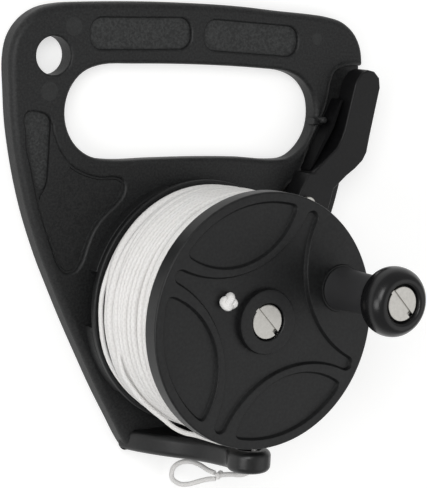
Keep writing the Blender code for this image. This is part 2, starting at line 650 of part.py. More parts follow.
def slotted_screw(name, place, tip, head_base, shank, head_radius, head_height, parent=None):
    """A pan-headed screw with a straight slot across its head."""
    top = head_base + head_height
    edge = head_height / 5
    profile = ((0, top), (head_radius - edge, top), (head_radius, top - edge), (head_radius, head_base),
               (shank, head_base), (shank, tip + edge), (shank - edge, tip), (0, tip))
    screw = add_object(name, turned_mesh(name, profile, MIDDLE_SIDES, place), steel, parent)
    reach = head_radius + OVERRUN
    half = SCREW_SLOT_WIDTH / 2
    corners = ((-reach, -half), (reach, -half), (reach, half), (-reach, half))
    slot = [Vector(place) + turned_by(Vector(corner), SCREW_SLOT_TURN) for corner in corners]
    levels = ((top - SCREW_SLOT_DEPTH, 0), (top + OVERRUN, 0))
    combine(screw, stacked_mesh(name + "_slot_cutter", slot, levels), "DIFFERENCE")
    return screw


def axle():
    """What the drum turns on: insert and screw in the plate, with the sleeve and washers between them."""
    insert_base = INSERT_FLOOR + GAP
    add_object("axle_insert", tube_mesh("axle_insert", SLEEVE_INNER_RADIUS, AXLE_INSERT_RADIUS, insert_base,
                                        AXLE_BOSS_TOP, SMALL_SIDES), brass)
    slotted_screw("axle_screw", (0, 0), insert_base + AXLE_TIP_CLEARANCE, AXLE_HEAD_BASE, AXLE_SCREW_RADIUS,
                  AXLE_HEAD_RADIUS, AXLE_HEAD_HEIGHT)
    add_object("axle_sleeve", tube_mesh("axle_sleeve", SLEEVE_INNER_RADIUS, SLEEVE_OUTER_RADIUS, REAR_WASHER_BASE,
                                        SHOULDER_TOP, SMALL_SIDES), steel)
    add_object("axle_washer_rear", tube_mesh("axle_washer_rear", DRUM_BORE_RADIUS, REAR_WASHER_RADIUS,
                                             REAR_WASHER_BASE, REAR_WASHER_BASE + REAR_WASHER_THICKNESS,
                                             MIDDLE_SIDES), white_nylon)
    add_object("axle_washer_front", tube_mesh("axle_washer_front", SLEEVE_INNER_RADIUS, AXLE_HEAD_RADIUS,
                                              FRONT_WASHER_BASE, FRONT_WASHER_BASE + FRONT_WASHER_THICKNESS,
                                              MIDDLE_SIDES), steel)


def drum_rear_half(spin):
    """The rear flange with the hub tube and the inner boss round the axle."""
    hub_top = FRONT_BASE - GAP
    boss_radius = DRUM_BORE_RADIUS + HUB_BOSS_WALL
    profile = (
        (HUB_INNER_RADIUS, hub_top), (HUB_RADIUS, hub_top), (HUB_RADIUS, LINE_BASE),
        (FLANGE_RADIUS - FLANGE_ROUND, LINE_BASE), (FLANGE_RADIUS, LINE_BASE - FLANGE_ROUND),
        (FLANGE_RADIUS, DRUM_BASE + FLANGE_ROUND), (FLANGE_RADIUS - FLANGE_ROUND, DRUM_BASE),
        (DRUM_BORE_RADIUS, DRUM_BASE), (DRUM_BORE_RADIUS, hub_top), (boss_radius, hub_top),
        (boss_radius, LINE_BASE), (HUB_INNER_RADIUS, LINE_BASE),
    )
    mesh = turned_mesh("drum_rear_half", profile, LARGE_SIDES, closed=True)
    return add_object("drum_rear_half", mesh, drum_plastic, spin)


def lens_outline(turn):
    """One sunk lens: its outer side follows the rim, its inner side is a hollow arc."""
    rim = FLANGE_RADIUS - FACE_RIM
    centre = LENS_CENTRE_SHARE * FLANGE_RADIUS
    radius = LENS_RADIUS_SHARE * FLANGE_RADIUS
    tip = math.acos((rim ** 2 + centre ** 2 - radius ** 2) / (2 * rim * centre)) * (1 - LENS_CORNER_SHARE)
    outer = [tip * (2 * step / ARC_STEPS - 1) for step in range(ARC_STEPS + 1)]
    points = [Vector((rim * math.cos(angle), rim * math.sin(angle))) for angle in outer]
    reach = math.atan2(rim * math.sin(tip), centre - rim * math.cos(tip)) * (1 - LENS_CORNER_SHARE)
    for step in range(ARC_STEPS + 1):
        angle = math.pi - reach * (1 - 2 * step / ARC_STEPS)
        points.append(Vector((centre + radius * math.cos(angle), radius * math.sin(angle))))
    return [turned_by(point, turn) for point in points]


def star_outline():
    """The sunk star: four hollow sides and four narrow rounded tips."""
    centre = STAR_CENTRE_SHARE * FLANGE_RADIUS
    radius = STAR_RADIUS_SHARE * FLANGE_RADIUS
    reach = STAR_REACH_SHARE * FLANGE_RADIUS
    span = math.acos((centre ** 2 + radius ** 2 - reach ** 2) / (2 * centre * radius))
    points = []
    for side in range(LENS_COUNT):
        turn = LENS_TURN + side * math.tau / LENS_COUNT
        for step in range(ARC_STEPS + 1):
            angle = math.pi + span * (1 - 2 * step / ARC_STEPS)
            point = Vector((centre + radius * math.cos(angle), radius * math.sin(angle)))
            points.append(turned_by(point, turn))
        tip = turned_by(Vector((reach + FACE_DEPTH, 0)), turn + math.pi / LENS_COUNT)
        points.append(tip)
    return points


def drum_front_flange(spin):
    """The thick front flange with its sunk pattern, hub boss, knob boss and spigot."""
    spigot = HUB_INNER_RADIUS - GAP
    spigot_base = FRONT_BASE - SPIGOT_DEPTH
    spigot_inner = DRUM_BORE_RADIUS + HUB_BOSS_WALL + GAP
    rim = FLANGE_RADIUS + FRONT_FLANGE_LIP
    profile = (
        (AXLE_SCREW_RADIUS, FRONT_BASE), (AXLE_SCREW_RADIUS, FRONT_TOP),
        (rim - FLANGE_ROUND, FRONT_TOP), (rim, FRONT_TOP - FLANGE_ROUND),
        (rim, FRONT_BASE + FLANGE_ROUND), (rim - FLANGE_ROUND, FRONT_BASE),
        (spigot, FRONT_BASE), (spigot, spigot_base), (spigot_inner, spigot_base), (spigot_inner, FRONT_BASE),
    )
    mesh = turned_mesh("drum_front_flange", profile, LARGE_SIDES, closed=True)
    flange = add_object("drum_front_flange", mesh, drum_plastic, spin)
    levels = ((STAR_FLOOR, FACE_DRAFT), (FRONT_TOP, 0), (FRONT_TOP + OVERRUN, 0))
    for number in range(LENS_COUNT):
        lens = lens_outline(LENS_TURN + number * math.tau / LENS_COUNT)
        combine(flange, stacked_mesh(f"lens_cutter_{number}", lens, levels), "DIFFERENCE")
    combine(flange, stacked_mesh("star_cutter", star_outline(), levels), "DIFFERENCE")
    boss = disc_mesh("hub_boss_form", FRONT_BOSS_RADIUS, FRONT_BASE + FRONT_SHOULDER / 2,
                     FRONT_TOP + FRONT_BOSS_RISE, MIDDLE_SIDES)
    combine(flange, boss, "UNION")
    well = disc_mesh("head_well_cutter", AXLE_HEAD_RADIUS + GAP * 2, SHOULDER_TOP,
                     FRONT_TOP + FRONT_BOSS_RISE + OVERRUN, MIDDLE_SIDES)
    combine(flange, well, "DIFFERENCE")
    bore = disc_mesh("axle_cutter", DRUM_BORE_RADIUS, FRONT_BASE - OVERRUN, SHOULDER_TOP + OVERRUN, LARGE_SIDES)
    combine(flange, bore, "DIFFERENCE")
    knob_boss = disc_mesh("knob_boss_form", KNOB_BOSS_RADIUS, FRONT_BASE + KNOB_INSERT_FLOOR / 2,
                          FRONT_TOP + KNOB_BOSS_RISE, MIDDLE_SIDES, KNOB_PLACE)
    combine(flange, knob_boss, "UNION")
    socket = disc_mesh("knob_insert_cutter", KNOB_INSERT_RADIUS + GAP, FRONT_BASE + KNOB_INSERT_FLOOR,
                       FRONT_TOP + KNOB_BOSS_RISE + OVERRUN, SMALL_SIDES, KNOB_PLACE)
    combine(flange, socket, "DIFFERENCE")
    hole = disc_mesh("anchor_cutter", LINE_DIAMETER / 2 + GAP, FRONT_BASE - SPIGOT_DEPTH - OVERRUN,
                     FRONT_TOP + OVERRUN, SMALL_SIDES, anchor_place())
    combine(flange, hole, "DIFFERENCE")
    return flange


def anchor_place():
    """Where the line's inner end comes through the front flange."""
    return (ANCHOR_RADIUS * math.cos(ANCHOR_TURN), ANCHOR_RADIUS * math.sin(ANCHOR_TURN))


def knob_parts(spin, knob_spin):
    """The winding knob, and the insert, sleeve, washer and screw that it turns on."""
    profile = [(KNOB_WELL_RADIUS, KNOB_SEAT), (KNOB_WELL_RADIUS, KNOB_TOP - KNOB_SINK / 4)]
    profile += [(x * KNOB_RADIUS, KNOB_BASE + y * KNOB_LENGTH) for x, y in KNOB_PROFILE_SHARES]
    bore = KNOB_SLEEVE_OUTER + GAP
    profile += [(bore, KNOB_BASE), (bore, KNOB_SEAT)]
    add_object("knob", turned_mesh("knob", profile, MIDDLE_SIDES, KNOB_PLACE, closed=True), gloss, knob_spin)
    insert_base = FRONT_BASE + KNOB_INSERT_FLOOR + GAP
    insert_top = FRONT_TOP + KNOB_BOSS_RISE
    add_object("knob_insert", tube_mesh("knob_insert", KNOB_SLEEVE_INNER, KNOB_INSERT_RADIUS, insert_base,
                                        insert_top, SMALL_SIDES, KNOB_PLACE), brass, spin)
    add_object("knob_sleeve", tube_mesh("knob_sleeve", KNOB_SLEEVE_INNER, KNOB_SLEEVE_OUTER, insert_top + GAP,
                                        KNOB_SEAT, SMALL_SIDES, KNOB_PLACE), steel, spin)
    washer_base = KNOB_SEAT + GAP
    washer_top = washer_base + KNOB_WASHER_THICKNESS
    add_object("knob_washer", tube_mesh("knob_washer", KNOB_SLEEVE_INNER, KNOB_HEAD_RADIUS, washer_base,
                                        washer_top, MIDDLE_SIDES, KNOB_PLACE), white_nylon, spin)
    slotted_screw("knob_screw", KNOB_PLACE, insert_base + KNOB_INSERT_FLOOR, washer_top + GAP, KNOB_SCREW_RADIUS,
                  KNOB_HEAD_RADIUS, KNOB_HEAD_HEIGHT, spin)


def lever_parts(lever_turn):
    """The thumb lever with its brake foot, the leaf that springs it back, its screw and insert."""
    start, end = LEVER_FOOT_SPAN_DEG
    foot = [on_ring(FLANGE_RADIUS + LEVER_TOE_RISE, LEVER_TOE_DEG)]
    foot += [on_ring(FLANGE_RADIUS + GAP, end + (start - end) * step / LEVER_FOOT_STEPS)
             for step in range(LEVER_FOOT_STEPS + 1)]
    foot += [on_ring(FLANGE_RADIUS + rise, angle) for rise, angle in zip(LEVER_HEEL_RISES, LEVER_HEEL_DEG)]
    outline = foot + scaled(LEVER_OUTLINE_SHARES, LEVER_LENGTH, LEVER_LENGTH, LEVER_PIVOT)
    levels = rounded_levels(LEVER_BASE, LEVER_TOP, LEVER_ROUND, LEVER_ROUND)
    lever = add_object("thumb_lever", stacked_mesh("thumb_lever", outline, levels), lever_plastic, lever_turn)
    hole = disc_mesh("lever_cutter", LEVER_SCREW_RADIUS + GAP, LEVER_BASE - OVERRUN, LEVER_TOP + OVERRUN,
                     SMALL_SIDES, LEVER_PIVOT)
    combine(lever, hole, "DIFFERENCE")
    leaf = scaled(LEAF_OUTLINE_SHARES, LEVER_LENGTH, LEVER_LENGTH, LEVER_PIVOT)
    leaf_levels = ((LEVER_BASE, 0), (LEVER_TOP - LEAF_SINK, 0))
    add_object("lever_leaf", stacked_mesh("lever_leaf", leaf, leaf_levels), lever_plastic, lever_turn)
    insert_base = INSERT_FLOOR + GAP
    add_object("lever_insert", tube_mesh("lever_insert", LEVER_SCREW_RADIUS + GAP, LEVER_INSERT_RADIUS,
                                         insert_base, PLATE_THICKNESS, SMALL_SIDES, LEVER_PIVOT), brass)
    slotted_screw("lever_screw", LEVER_PIVOT, insert_base + GAP, LEVER_TOP + GAP, LEVER_SCREW_RADIUS,
                  LEVER_HEAD_RADIUS, LEVER_HEAD_HEIGHT)


def winding_points():
    """The outer layer of turns, from the rear flange to the front, its two ends straight."""
    half = LINE_DIAMETER / 2
    low = LINE_BASE + GAP + half
    high = FRONT_BASE - GAP - half
    total = LINE_LOOPS * LOOP_POINTS
    exit_angle = math.radians(LINE_EXIT_DEG)
    points = []
    for step in range(total + 1):
        angle = exit_angle - math.tau * (total - step) / LOOP_POINTS
        height = low + (high - low) * step / total
        points.append(Vector((WIND_RADIUS * math.cos(angle), WIND_RADIUS * math.sin(angle), height)))
    tangent = Vector((-math.sin(exit_angle), math.cos(exit_angle), 0))
    return [points[0] - tangent * LINE_DIAMETER, *points, points[-1] + tangent * LINE_DIAMETER]


def least_self_gap(points):
    """The least clear distance between two turns of the winding, measured on its points."""
    far = LOOP_POINTS // 2
    least = min((near - other).length
                for index, near in enumerate(points)
                for other in points[index + far:index + 2 * LOOP_POINTS])
    return least - LINE_DIAMETER


def route_point(shares):
    """A point of the free line, in shares of the flange's radius and of the front flange's height."""
    return Vector((shares[0] * FLANGE_RADIUS, shares[1] * FLANGE_RADIUS, shares[2] * FRONT_BASE))


def line_parts(spin):
    """The line on the drum, its anchor knot, and the free end through the guide."""
    core_base = LINE_BASE + GAP
    add_object("line_core", tube_mesh("line_core", HUB_RADIUS + GAP, CORE_RADIUS, core_base, FRONT_BASE - GAP,
                                      LARGE_SIDES), line, spin)
    points = winding_points()
    cord_object("line_winding", points, LINE_DIAMETER, 1, line, spin)
    print("least gap between turns, mm:", round(least_self_gap(points) * 1000, 3))
    seat = STAR_FLOOR + GAP
    knot = [(x * ANCHOR_KNOT_RADIUS, seat + y * ANCHOR_KNOT_RISE) for x, y in ANCHOR_KNOT_SHARES]
    knot += [(LINE_DIAMETER / 2, seat), (LINE_DIAMETER / 2, FRONT_BASE), (0, FRONT_BASE)]
    add_object("line_anchor_knot", turned_mesh("line_anchor_knot", knot, SMALL_SIDES, anchor_place()), line, spin)
    route = [Vector((*on_ring(LEAD_RADIUS, angle), share * FRONT_BASE))
             for angle, share in zip(LEAD_ARC_DEG, LEAD_ARC_HEIGHT_SHARES)]
    route += [route_point(shares) for shares in LEAD_ROUTE_SHARES]
    cord_object("line_lead", smooth_route(route, LEAD_POINTS), LINE_DIAMETER, 2, line)
    loop = smooth_route([route_point(shares) for shares in END_LOOP_ROUTE_SHARES], END_LOOP_POINTS)
    cord_object("line_end_loop", loop, LINE_DIAMETER, 2, line)
    form = bmesh.new()
    bmesh.ops.create_icosphere(form, subdivisions=2, radius=END_KNOT_RADIUS)
    bmesh.ops.translate(form, verts=form.verts, vec=route_point(END_KNOT_SHARES))
    add_object("line_end_knot", finished_mesh("line_end_knot", form), line)


for old in list(bpy.data.objects):
    bpy.data.objects.remove(old)

nylon = material("textured black nylon", (0.035, 0.036, 0.038, 1), 0.55, 0)
drum_plastic = material("satin black plastic", (0.030, 0.031, 0.033, 1), 0.40, 0)
lever_plastic = material("smooth black plastic", (0.032, 0.033, 0.034, 1), 0.38, 0)
gloss = material("gloss black plastic", (0.012, 0.012, 0.013, 1), 0.08, 0)
steel = material("stainless steel", (0.62, 0.61, 0.59, 1), 0.28, 1)
brass = material("brass", (0.75, 0.56, 0.28, 1), 0.30, 1)
white_nylon = material("natural nylon", (0.80, 0.79, 0.74, 1), 0.45, 0)
line = material("white braided line", (0.82, 0.81, 0.78, 1), 0.80, 0)

drum_axis = joint_empty("drum_axis", (0, 0, 0))
knob_axis = joint_empty("knob_axis", (*KNOB_PLACE, 0), drum_axis)
lever_axis = joint_empty("lever_axis", (*LEVER_PIVOT, 0))

reel_frame = frame()
cut_eyelet(reel_frame)
axle()
drum_rear_half(drum_axis)
drum_front_flange(drum_axis)
knob_parts(drum_axis, knob_axis)
lever_parts(lever_axis)
line_parts(drum_axis)
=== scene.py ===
"""How a hand-held line reel looks: moulded handle plate, drum of white line, winding knob, brake lever."""
import math

import bmesh
import bpy
from mathutils import Matrix, Vector, noise


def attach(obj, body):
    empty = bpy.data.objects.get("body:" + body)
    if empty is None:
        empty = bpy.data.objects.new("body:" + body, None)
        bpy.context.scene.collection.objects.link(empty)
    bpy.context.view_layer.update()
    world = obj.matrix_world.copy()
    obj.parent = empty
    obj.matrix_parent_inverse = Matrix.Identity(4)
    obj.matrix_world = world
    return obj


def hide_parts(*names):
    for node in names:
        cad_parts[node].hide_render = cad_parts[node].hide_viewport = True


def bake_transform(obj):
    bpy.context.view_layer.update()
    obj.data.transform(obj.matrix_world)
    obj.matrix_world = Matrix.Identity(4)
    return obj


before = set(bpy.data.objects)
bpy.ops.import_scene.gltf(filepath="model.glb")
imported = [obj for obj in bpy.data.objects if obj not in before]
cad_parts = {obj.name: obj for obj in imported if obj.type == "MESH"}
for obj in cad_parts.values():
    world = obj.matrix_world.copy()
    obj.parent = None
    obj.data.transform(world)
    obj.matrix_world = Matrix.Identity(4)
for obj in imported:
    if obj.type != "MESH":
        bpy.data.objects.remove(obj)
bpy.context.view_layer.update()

# Studio. The reel lies on its back on pale paper, and a long lens looks down on it from the front
# left. A wide, dim softbox hangs on the right, where the flat faces mirror it, and two small ones on
# the left light the line and the rounded edges.
SIGHT_BACK = Vector((-0.5442, 0.1294, 0.8289)).normalized()
SIGHT_SIDE = Vector((0.0291, 0.9903, -0.1355)).cross(SIGHT_BACK).normalized()
SIGHT_RISE = SIGHT_BACK.cross(SIGHT_SIDE)
CAMERA_PLACE = Vector((-0.3939, 0.1174, 0.6253))


def scene_object(name, data):
    """A new object in the scene."""
    item = bpy.data.objects.new(name, data)
    bpy.context.scene.collection.objects.link(item)
    return item


def finished_mesh(name, form):
    """The mesh of a finished form."""
    mesh = bpy.data.meshes.new(name)
    form.to_mesh(mesh)
    form.free()
    return mesh


camera_data = bpy.data.cameras.new("camera")
camera_data.sensor_fit = "HORIZONTAL"
camera_data.lens = 151.76
camera_data.shift_x = -0.0006
camera_data.shift_y = 0.0064
camera = scene_object("camera", camera_data)
camera.matrix_world = Matrix.Translation(CAMERA_PLACE) @ Matrix(
    (SIGHT_SIDE, SIGHT_RISE, SIGHT_BACK)).transposed().to_4x4()
bpy.context.scene.camera = camera
bpy.context.scene.view_settings.view_transform = "Standard"


def linear(code):
    """The linear colour of an sRGB hex value."""
    parts = [int(code[index:index + 2], 16) / 255 for index in (1, 3, 5)]
    return (*(part / 12.92 if part <= 0.04045 else ((part + 0.055) / 1.055) ** 2.4 for part in parts), 1)


def new_surface(name):
    """A new material and its shader."""
    surface = bpy.data.materials.new(name)
    surface.use_nodes = True
    return surface, surface.node_tree.nodes["Principled BSDF"]


def feed(surface, node, inputs):
    """Fills a node's sockets with values, hex colours, other nodes' outputs or nodes, which give their
    first output."""
    for name, value in inputs.items():
        if isinstance(value, bpy.types.Node):
            value = value.outputs[0]
        if isinstance(value, bpy.types.NodeSocket):
            surface.node_tree.links.new(value, node.inputs[name])
        else:
            node.inputs[name].default_value = linear(value) if isinstance(value, str) else value


def add_node(surface, kind, inputs=None, **settings):
    """Adds a node to a material, with its settings and inputs."""
    node = surface.node_tree.nodes.new(kind)
    for name, value in settings.items():
        setattr(node, name, value)
    feed(surface, node, inputs or {})
    return node


FLOOR_SIDE = 6.0
FLOOR_DROP = 0.0004
PAPER_SHOWN = 0.54
PAPER_CLOUDS_MM = 333.333
# Matt cartridge paper, rolled: no grain shows from here, only a faint unevenness. The camera and the
# reflections see it lit up to white, and it sends less than that back onto the reel.
paper, paper_shader = new_surface("matt paper")
paper_place = add_node(paper, "ShaderNodeTexCoord")
paper_clouds = add_node(paper, "ShaderNodeTexNoise", {
    "Vector": paper_place.outputs["Object"], "Scale": 1000 / PAPER_CLOUDS_MM})
paper_tone = add_node(paper, "ShaderNodeMix", {
    0: paper_clouds, 6: "#cbcbca", 7: "#d0d0cf"}, data_type="RGBA")
paper_rays = add_node(paper, "ShaderNodeLightPath")
paper_mirrored = add_node(paper, "ShaderNodeMath", {
    0: paper_rays.outputs["Is Glossy Ray"],
    1: paper_rays.outputs["Is Transmission Ray"]}, operation="MAXIMUM")
paper_seen = add_node(paper, "ShaderNodeMath", {
    0: paper_rays.outputs["Is Camera Ray"], 1: paper_mirrored}, operation="MAXIMUM")
paper_glow = add_node(paper, "ShaderNodeMath", {0: paper_seen, 1: PAPER_SHOWN}, operation="MULTIPLY")
feed(paper, paper_shader, {"Base Color": paper_tone.outputs[2], "Emission Strength": paper_glow,
                           "Roughness": 0.9, "Specular IOR Level": 0.2, "Emission Color": "#ffffff"})

form = bmesh.new()
bmesh.ops.create_grid(form, x_segments=1, y_segments=1, size=FLOOR_SIDE / 2)
bmesh.ops.translate(form, verts=form.verts, vec=(0, 0, -FLOOR_DROP))
floor = scene_object("floor", finished_mesh("floor", form))
floor.data.materials.append(paper)

ROOM_LIGHT = 0.44
LIGHTS_AIM = Vector((0, 0.02, 0.03))
LIGHTS = (
    # name, place, size, watts
    ("right softbox", (0.75, -0.30, 1.05), 1.10, 2.6),
    ("left softbox", (-0.60, 0.36, 0.84), 0.50, 4.2),
    ("low left softbox", (-0.95, -0.12, 0.62), 0.45, 3.0),
)
world = bpy.data.worlds.new("room")
bpy.context.scene.world = world
world.use_nodes = True
world.node_tree.nodes["Background"].inputs["Color"].default_value = (1, 1, 1, 1)
world.node_tree.nodes["Background"].inputs["Strength"].default_value = ROOM_LIGHT
for name, place, size, watts in LIGHTS:
    lamp_data = bpy.data.lights.new(name, "AREA")
    lamp_data.size = size
    lamp_data.energy = watts
    lamp = scene_object(name, lamp_data)
    lamp.location = place
    lamp.rotation_euler = (LIGHTS_AIM - Vector(place)).to_track_quat("-Z", "Y").to_euler()


# Free end of the line. White braided cord 2 mm thick leaves the drum beside the front flange, goes
# down through the eyelet and ends in a knot with a small loop, which hangs to the table.
FLANGE_RADIUS = 0.0500
FRONT_BASE = 0.0579
CORD_THICK = 0.0020
CORD_SIDES = 12
UP = Vector((0, 0, 1))
ACROSS = Vector((1, 0, 0))
WIND_RADIUS = 0.0472
LEAD_RADIUS = 0.0502
LEAD_ARC_DEG = (-152, -145, -138, -131)
LEAD_ARC_HEIGHT_SHARES = (0.578, 0.592, 0.608, 0.628)
LEAD_ROUTE_SHARES = (
    (-0.572, -0.832, 0.670), (-0.498, -0.900, 0.725), (-0.438, -0.930, 0.777), (-0.384, -0.938, 0.829),
    (-0.326, -0.952, 0.898), (-0.244, -0.976, 0.948), (-0.120, -1.000, 0.969), (0.000, -1.014, 0.967),
    (0.076, -1.046, 0.950), (0.106, -1.092, 0.933), (0.118, -1.150, 0.922), (0.114, -1.212, 0.914),
    (0.104, -1.264, 0.886), (0.092, -1.298, 0.838), (0.086, -1.322, 0.774), (0.096, -1.338, 0.708),
    (0.106, -1.358, 0.639), (0.114, -1.378, 0.579), (0.118, -1.392, 0.539),
)
END_KNOT_SHARES = (0.118, -1.404, 0.499)
END_LOOP_ROUTE_SHARES = (
    (0.106, -1.398, 0.456), (0.084, -1.388, 0.397), (0.056, -1.362, 0.314), (0.028, -1.358, 0.231),
    (-0.004, -1.388, 0.143), (-0.026, -1.456, 0.079), (-0.028, -1.536, 0.078), (-0.006, -1.566, 0.149),
    (0.022, -1.548, 0.233), (0.052, -1.506, 0.316), (0.084, -1.466, 0.397), (0.108, -1.446, 0.458),
)


def between(start, end, low, high, place):
    """The point at a place between two knots of a curve."""
    return (start * (high - place) + end * (place - low)) / (high - low)


def curve_point(before, start, end, after, share):
    """A point on a smooth curve from start to end, at a share of the way."""
    knots = [0.0]
    for near, far in ((before, start), (start, end), (end, after)):
        knots.append(knots[-1] + math.sqrt((far - near).length))
    place = knots[1] + (knots[2] - knots[1]) * share
    first = between(before, start, knots[0], knots[1], place)
    second = between(start, end, knots[1], knots[2], place)
    third = between(end, after, knots[2], knots[3], place)
    low = between(first, second, knots[0], knots[2], place)
    high = between(second, third, knots[1], knots[3], place)
    return between(low, high, knots[1], knots[2], place)


def smooth_route(points, steps):
    """Points on a smooth curve through the given ones, with so many steps to each."""
    route = [points[0] * 2 - points[1], *points, points[-1] * 2 - points[-2]]
    fine = []
    for before, start, end, after in zip(route, route[1:], route[2:], route[3:]):
        fine += [curve_point(before, start, end, after, step / steps) for step in range(steps)]
    return [*fine, points[-1]]


def route_point(shares):
    """A point of the free line, in shares of the flange's radius and of the front flange's height."""
    return Vector((shares[0] * FLANGE_RADIUS, shares[1] * FLANGE_RADIUS, shares[2] * FRONT_BASE))


def on_ring(radius, angle_deg):
    """The flat point at a radius from the drum's axis and an angle."""
    return Vector((radius * math.cos(math.radians(angle_deg)), radius * math.sin(math.radians(angle_deg))))


def cord_mesh(name, route, wide, high, upward):
    """A closed tube along a route. Its UV map goes round the cord, and up its length in diameters."""
    form = bmesh.new()
    pattern = form.loops.layers.uv.new("UVMap")
    travelled = 0
    rings = []
    for index, point in enumerate(route):
        ahead = (route[min(index + 1, len(route) - 1)] - route[max(index - 1, 0)]).normalized()
        upward = (upward - ahead * upward.dot(ahead)).normalized()
        side = ahead.cross(upward)
        if index:
            travelled += (point - route[index - 1]).length
        ring = []
        for step in range(CORD_SIDES):
            turn = math.tau * step / CORD_SIDES
            beside = point + side * math.cos(turn) * wide / 2
            ring.append(form.verts.new(beside + upward * math.sin(turn) * high / 2))
        rings.append((ring, travelled / CORD_THICK))
    for (low, start), (top, end) in zip(rings, rings[1:]):
        for step in range(CORD_SIDES):
            after = (step + 1) % CORD_SIDES
            face = form.faces.new((low[step], low[after], top[after], top[step]))
            corners = ((step, start), (step + 1, start), (step + 1, end), (step, end))
            for loop, (around, along) in zip(face.loops, corners):
                loop[pattern].uv = (around / CORD_SIDES, along)
    form.faces.new(rings[0][0][::-1])
    form.faces.new(rings[-1][0])
    bmesh.ops.recalc_face_normals(form, faces=form.faces)
    return finished_mesh(name, form)


def add_piece(name, mesh, surface, body, nodes):
    """Puts a finished mesh in the scene as a piece that rides on a body and stands for CAD nodes.
    A piece given no body rides on none."""
    piece = scene_object(name, mesh)
    mesh.materials.append(surface)
    mesh.shade_smooth()
    if body:
        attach(piece, body)
    if nodes:
        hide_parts(*nodes)
    return piece


def cord_piece(name, route, wide, high, upward, body, nodes):
    """Adds a length of braided cord as a piece."""
    return add_piece(name, cord_mesh(name, route, wide, high, upward), braid, body, nodes)


# Braided polyester line: matt white, its strands crossing at a slant. A real strand is 0.3 mm wide.
# Five are drawn round the line, 1.3 mm each, so that they show.
BRAID_ROUND = 5
BRAID_ALONG = 0.85
BRAID_SMUDGE_MM = 3.8462
braid, braid_shader = new_surface("braided polyester line")
braid_place = add_node(braid, "ShaderNodeTexCoord")
braid_split = add_node(braid, "ShaderNodeSeparateXYZ", {0: braid_place.outputs["UV"]})
braid_round = add_node(braid, "ShaderNodeMath", {
    0: braid_split, 1: math.tau * BRAID_ROUND}, operation="MULTIPLY")
braid_along = add_node(braid, "ShaderNodeMath", {
    0: braid_split.outputs[1], 1: math.tau * BRAID_ALONG}, operation="MULTIPLY")
# One set of strands leans each way, and the higher of the two is seen.
braid_leans = []
for lean in ("ADD", "SUBTRACT"):
    slant = add_node(braid, "ShaderNodeMath", {0: braid_round, 1: braid_along}, operation=lean)
    braid_leans.append(add_node(braid, "ShaderNodeMath", {0: slant}, operation="SINE"))
braid_top = add_node(braid, "ShaderNodeMath", {
    0: braid_leans[0], 1: braid_leans[1]}, operation="MAXIMUM")
braid_height = add_node(braid, "ShaderNodeMapRange", {0: braid_top, 1: -1.0, 2: 1.0})
braid_clouds = add_node(braid, "ShaderNodeTexNoise", {
    "Vector": braid_place.outputs["Object"], "Scale": 1000 / BRAID_SMUDGE_MM, "Detail": 3.0})
# The low parts between the strands are coloured darker: painted shade in the braid's grooves.
braid_groove_shade = add_node(braid, "ShaderNodeMix", {
    0: braid_height, 6: "#e5e4e3", 7: "#efeeed"}, data_type="RGBA")
braid_wear = add_node(braid, "ShaderNodeMix", {
    0: braid_clouds, 6: "#ffffff", 7: "#f1f0ee"}, data_type="RGBA")
braid_colour = add_node(braid, "ShaderNodeMix", {
    0: 1.0, 6: braid_groove_shade.outputs[2], 7: braid_wear.outputs[2]}, data_type="RGBA", blend_type="MULTIPLY")
braid_bump = add_node(braid, "ShaderNodeBump", {
    "Strength": 0.3, "Distance": 0.00005, "Height": braid_height})
feed(braid, braid_shader, {"Base Color": braid_colour.outputs[2], "Normal": braid_bump,
                           "Roughness": 0.85, "Sheen Weight": 0.15})

# The strand comes up out of the winding: radius, angle and height of its first two points.
LEAD_DIP = ((0.0474, -166.0, 0.0312), (0.0490, -159.0, 0.0325))
lead_start = [Vector((*on_ring(LEAD_RADIUS, angle), share * FRONT_BASE))
              for angle, share in zip(LEAD_ARC_DEG, LEAD_ARC_HEIGHT_SHARES)]
lead_dip = [Vector((*on_ring(radius, angle), height)) for radius, angle, height in LEAD_DIP]
lead_route = smooth_route(lead_dip + lead_start + [route_point(shares) for shares in LEAD_ROUTE_SHARES], 6)
lead = cord_piece("free_line", lead_route, CORD_THICK, CORD_THICK, UP, "reel_frame", ["line_lead"])
loop_route = smooth_route([route_point(shares) for shares in END_LOOP_ROUTE_SHARES], 6)
end_loop = cord_piece("end_loop", loop_route, CORD_THICK, CORD_THICK, ACROSS, "reel_frame", ["line_end_loop"])


KNOT_RISE = 1.4


def knot_route(centre, reach, turn, lean, steps):
    """A closed path that passes over and under itself three times, like an overhand knot."""
    points = []
    for step in range(steps + 1):
        angle = math.tau * step / steps
        point = Vector((math.sin(angle) + 2 * math.sin(2 * angle), math.cos(angle) - 2 * math.cos(2 * angle),
                        -math.sin(3 * angle) * KNOT_RISE)) * reach / 3
        points.append(centre + Matrix.Rotation(turn, 3, "Z") @ (Matrix.Rotation(lean, 3, "X") @ point))
    return points


END_KNOT_REACH = 0.00125
END_KNOT_THICK = CORD_THICK * 0.85
end_knot_route = knot_route(route_point(END_KNOT_SHARES), END_KNOT_REACH, 0.5, 1.2, 60)
end_knot = cord_piece("end_knot", end_knot_route, END_KNOT_THICK, END_KNOT_THICK, UP, "reel_frame",
                      ["line_end_knot"])


# Line on the drum. The outer layer of the same braided cord lies turn beside turn, a little slack
# and uneven, over an inner layer. The turns nearest the rear flange stand apart here and there.
TURN_COUNT = 16.5
TURN_STEPS = 90
TURN_BASE = 0.0198
TURN_TOP = 0.0567
TURN_WIDTH = 0.0034
TURN_HIGH = 0.0021
FLAT_START = 0.9
INNER_COUNT = 14
INNER_RADIUS = 0.0446
INNER_BASE = 0.0240
INNER_TOP = 0.0565
SLACK_OUT = 0.0006
SLACK_ALONG = 0.0030
SLACK_PACE = 0.9
SLACK_APART = Vector((11.3, 4.1, 0))
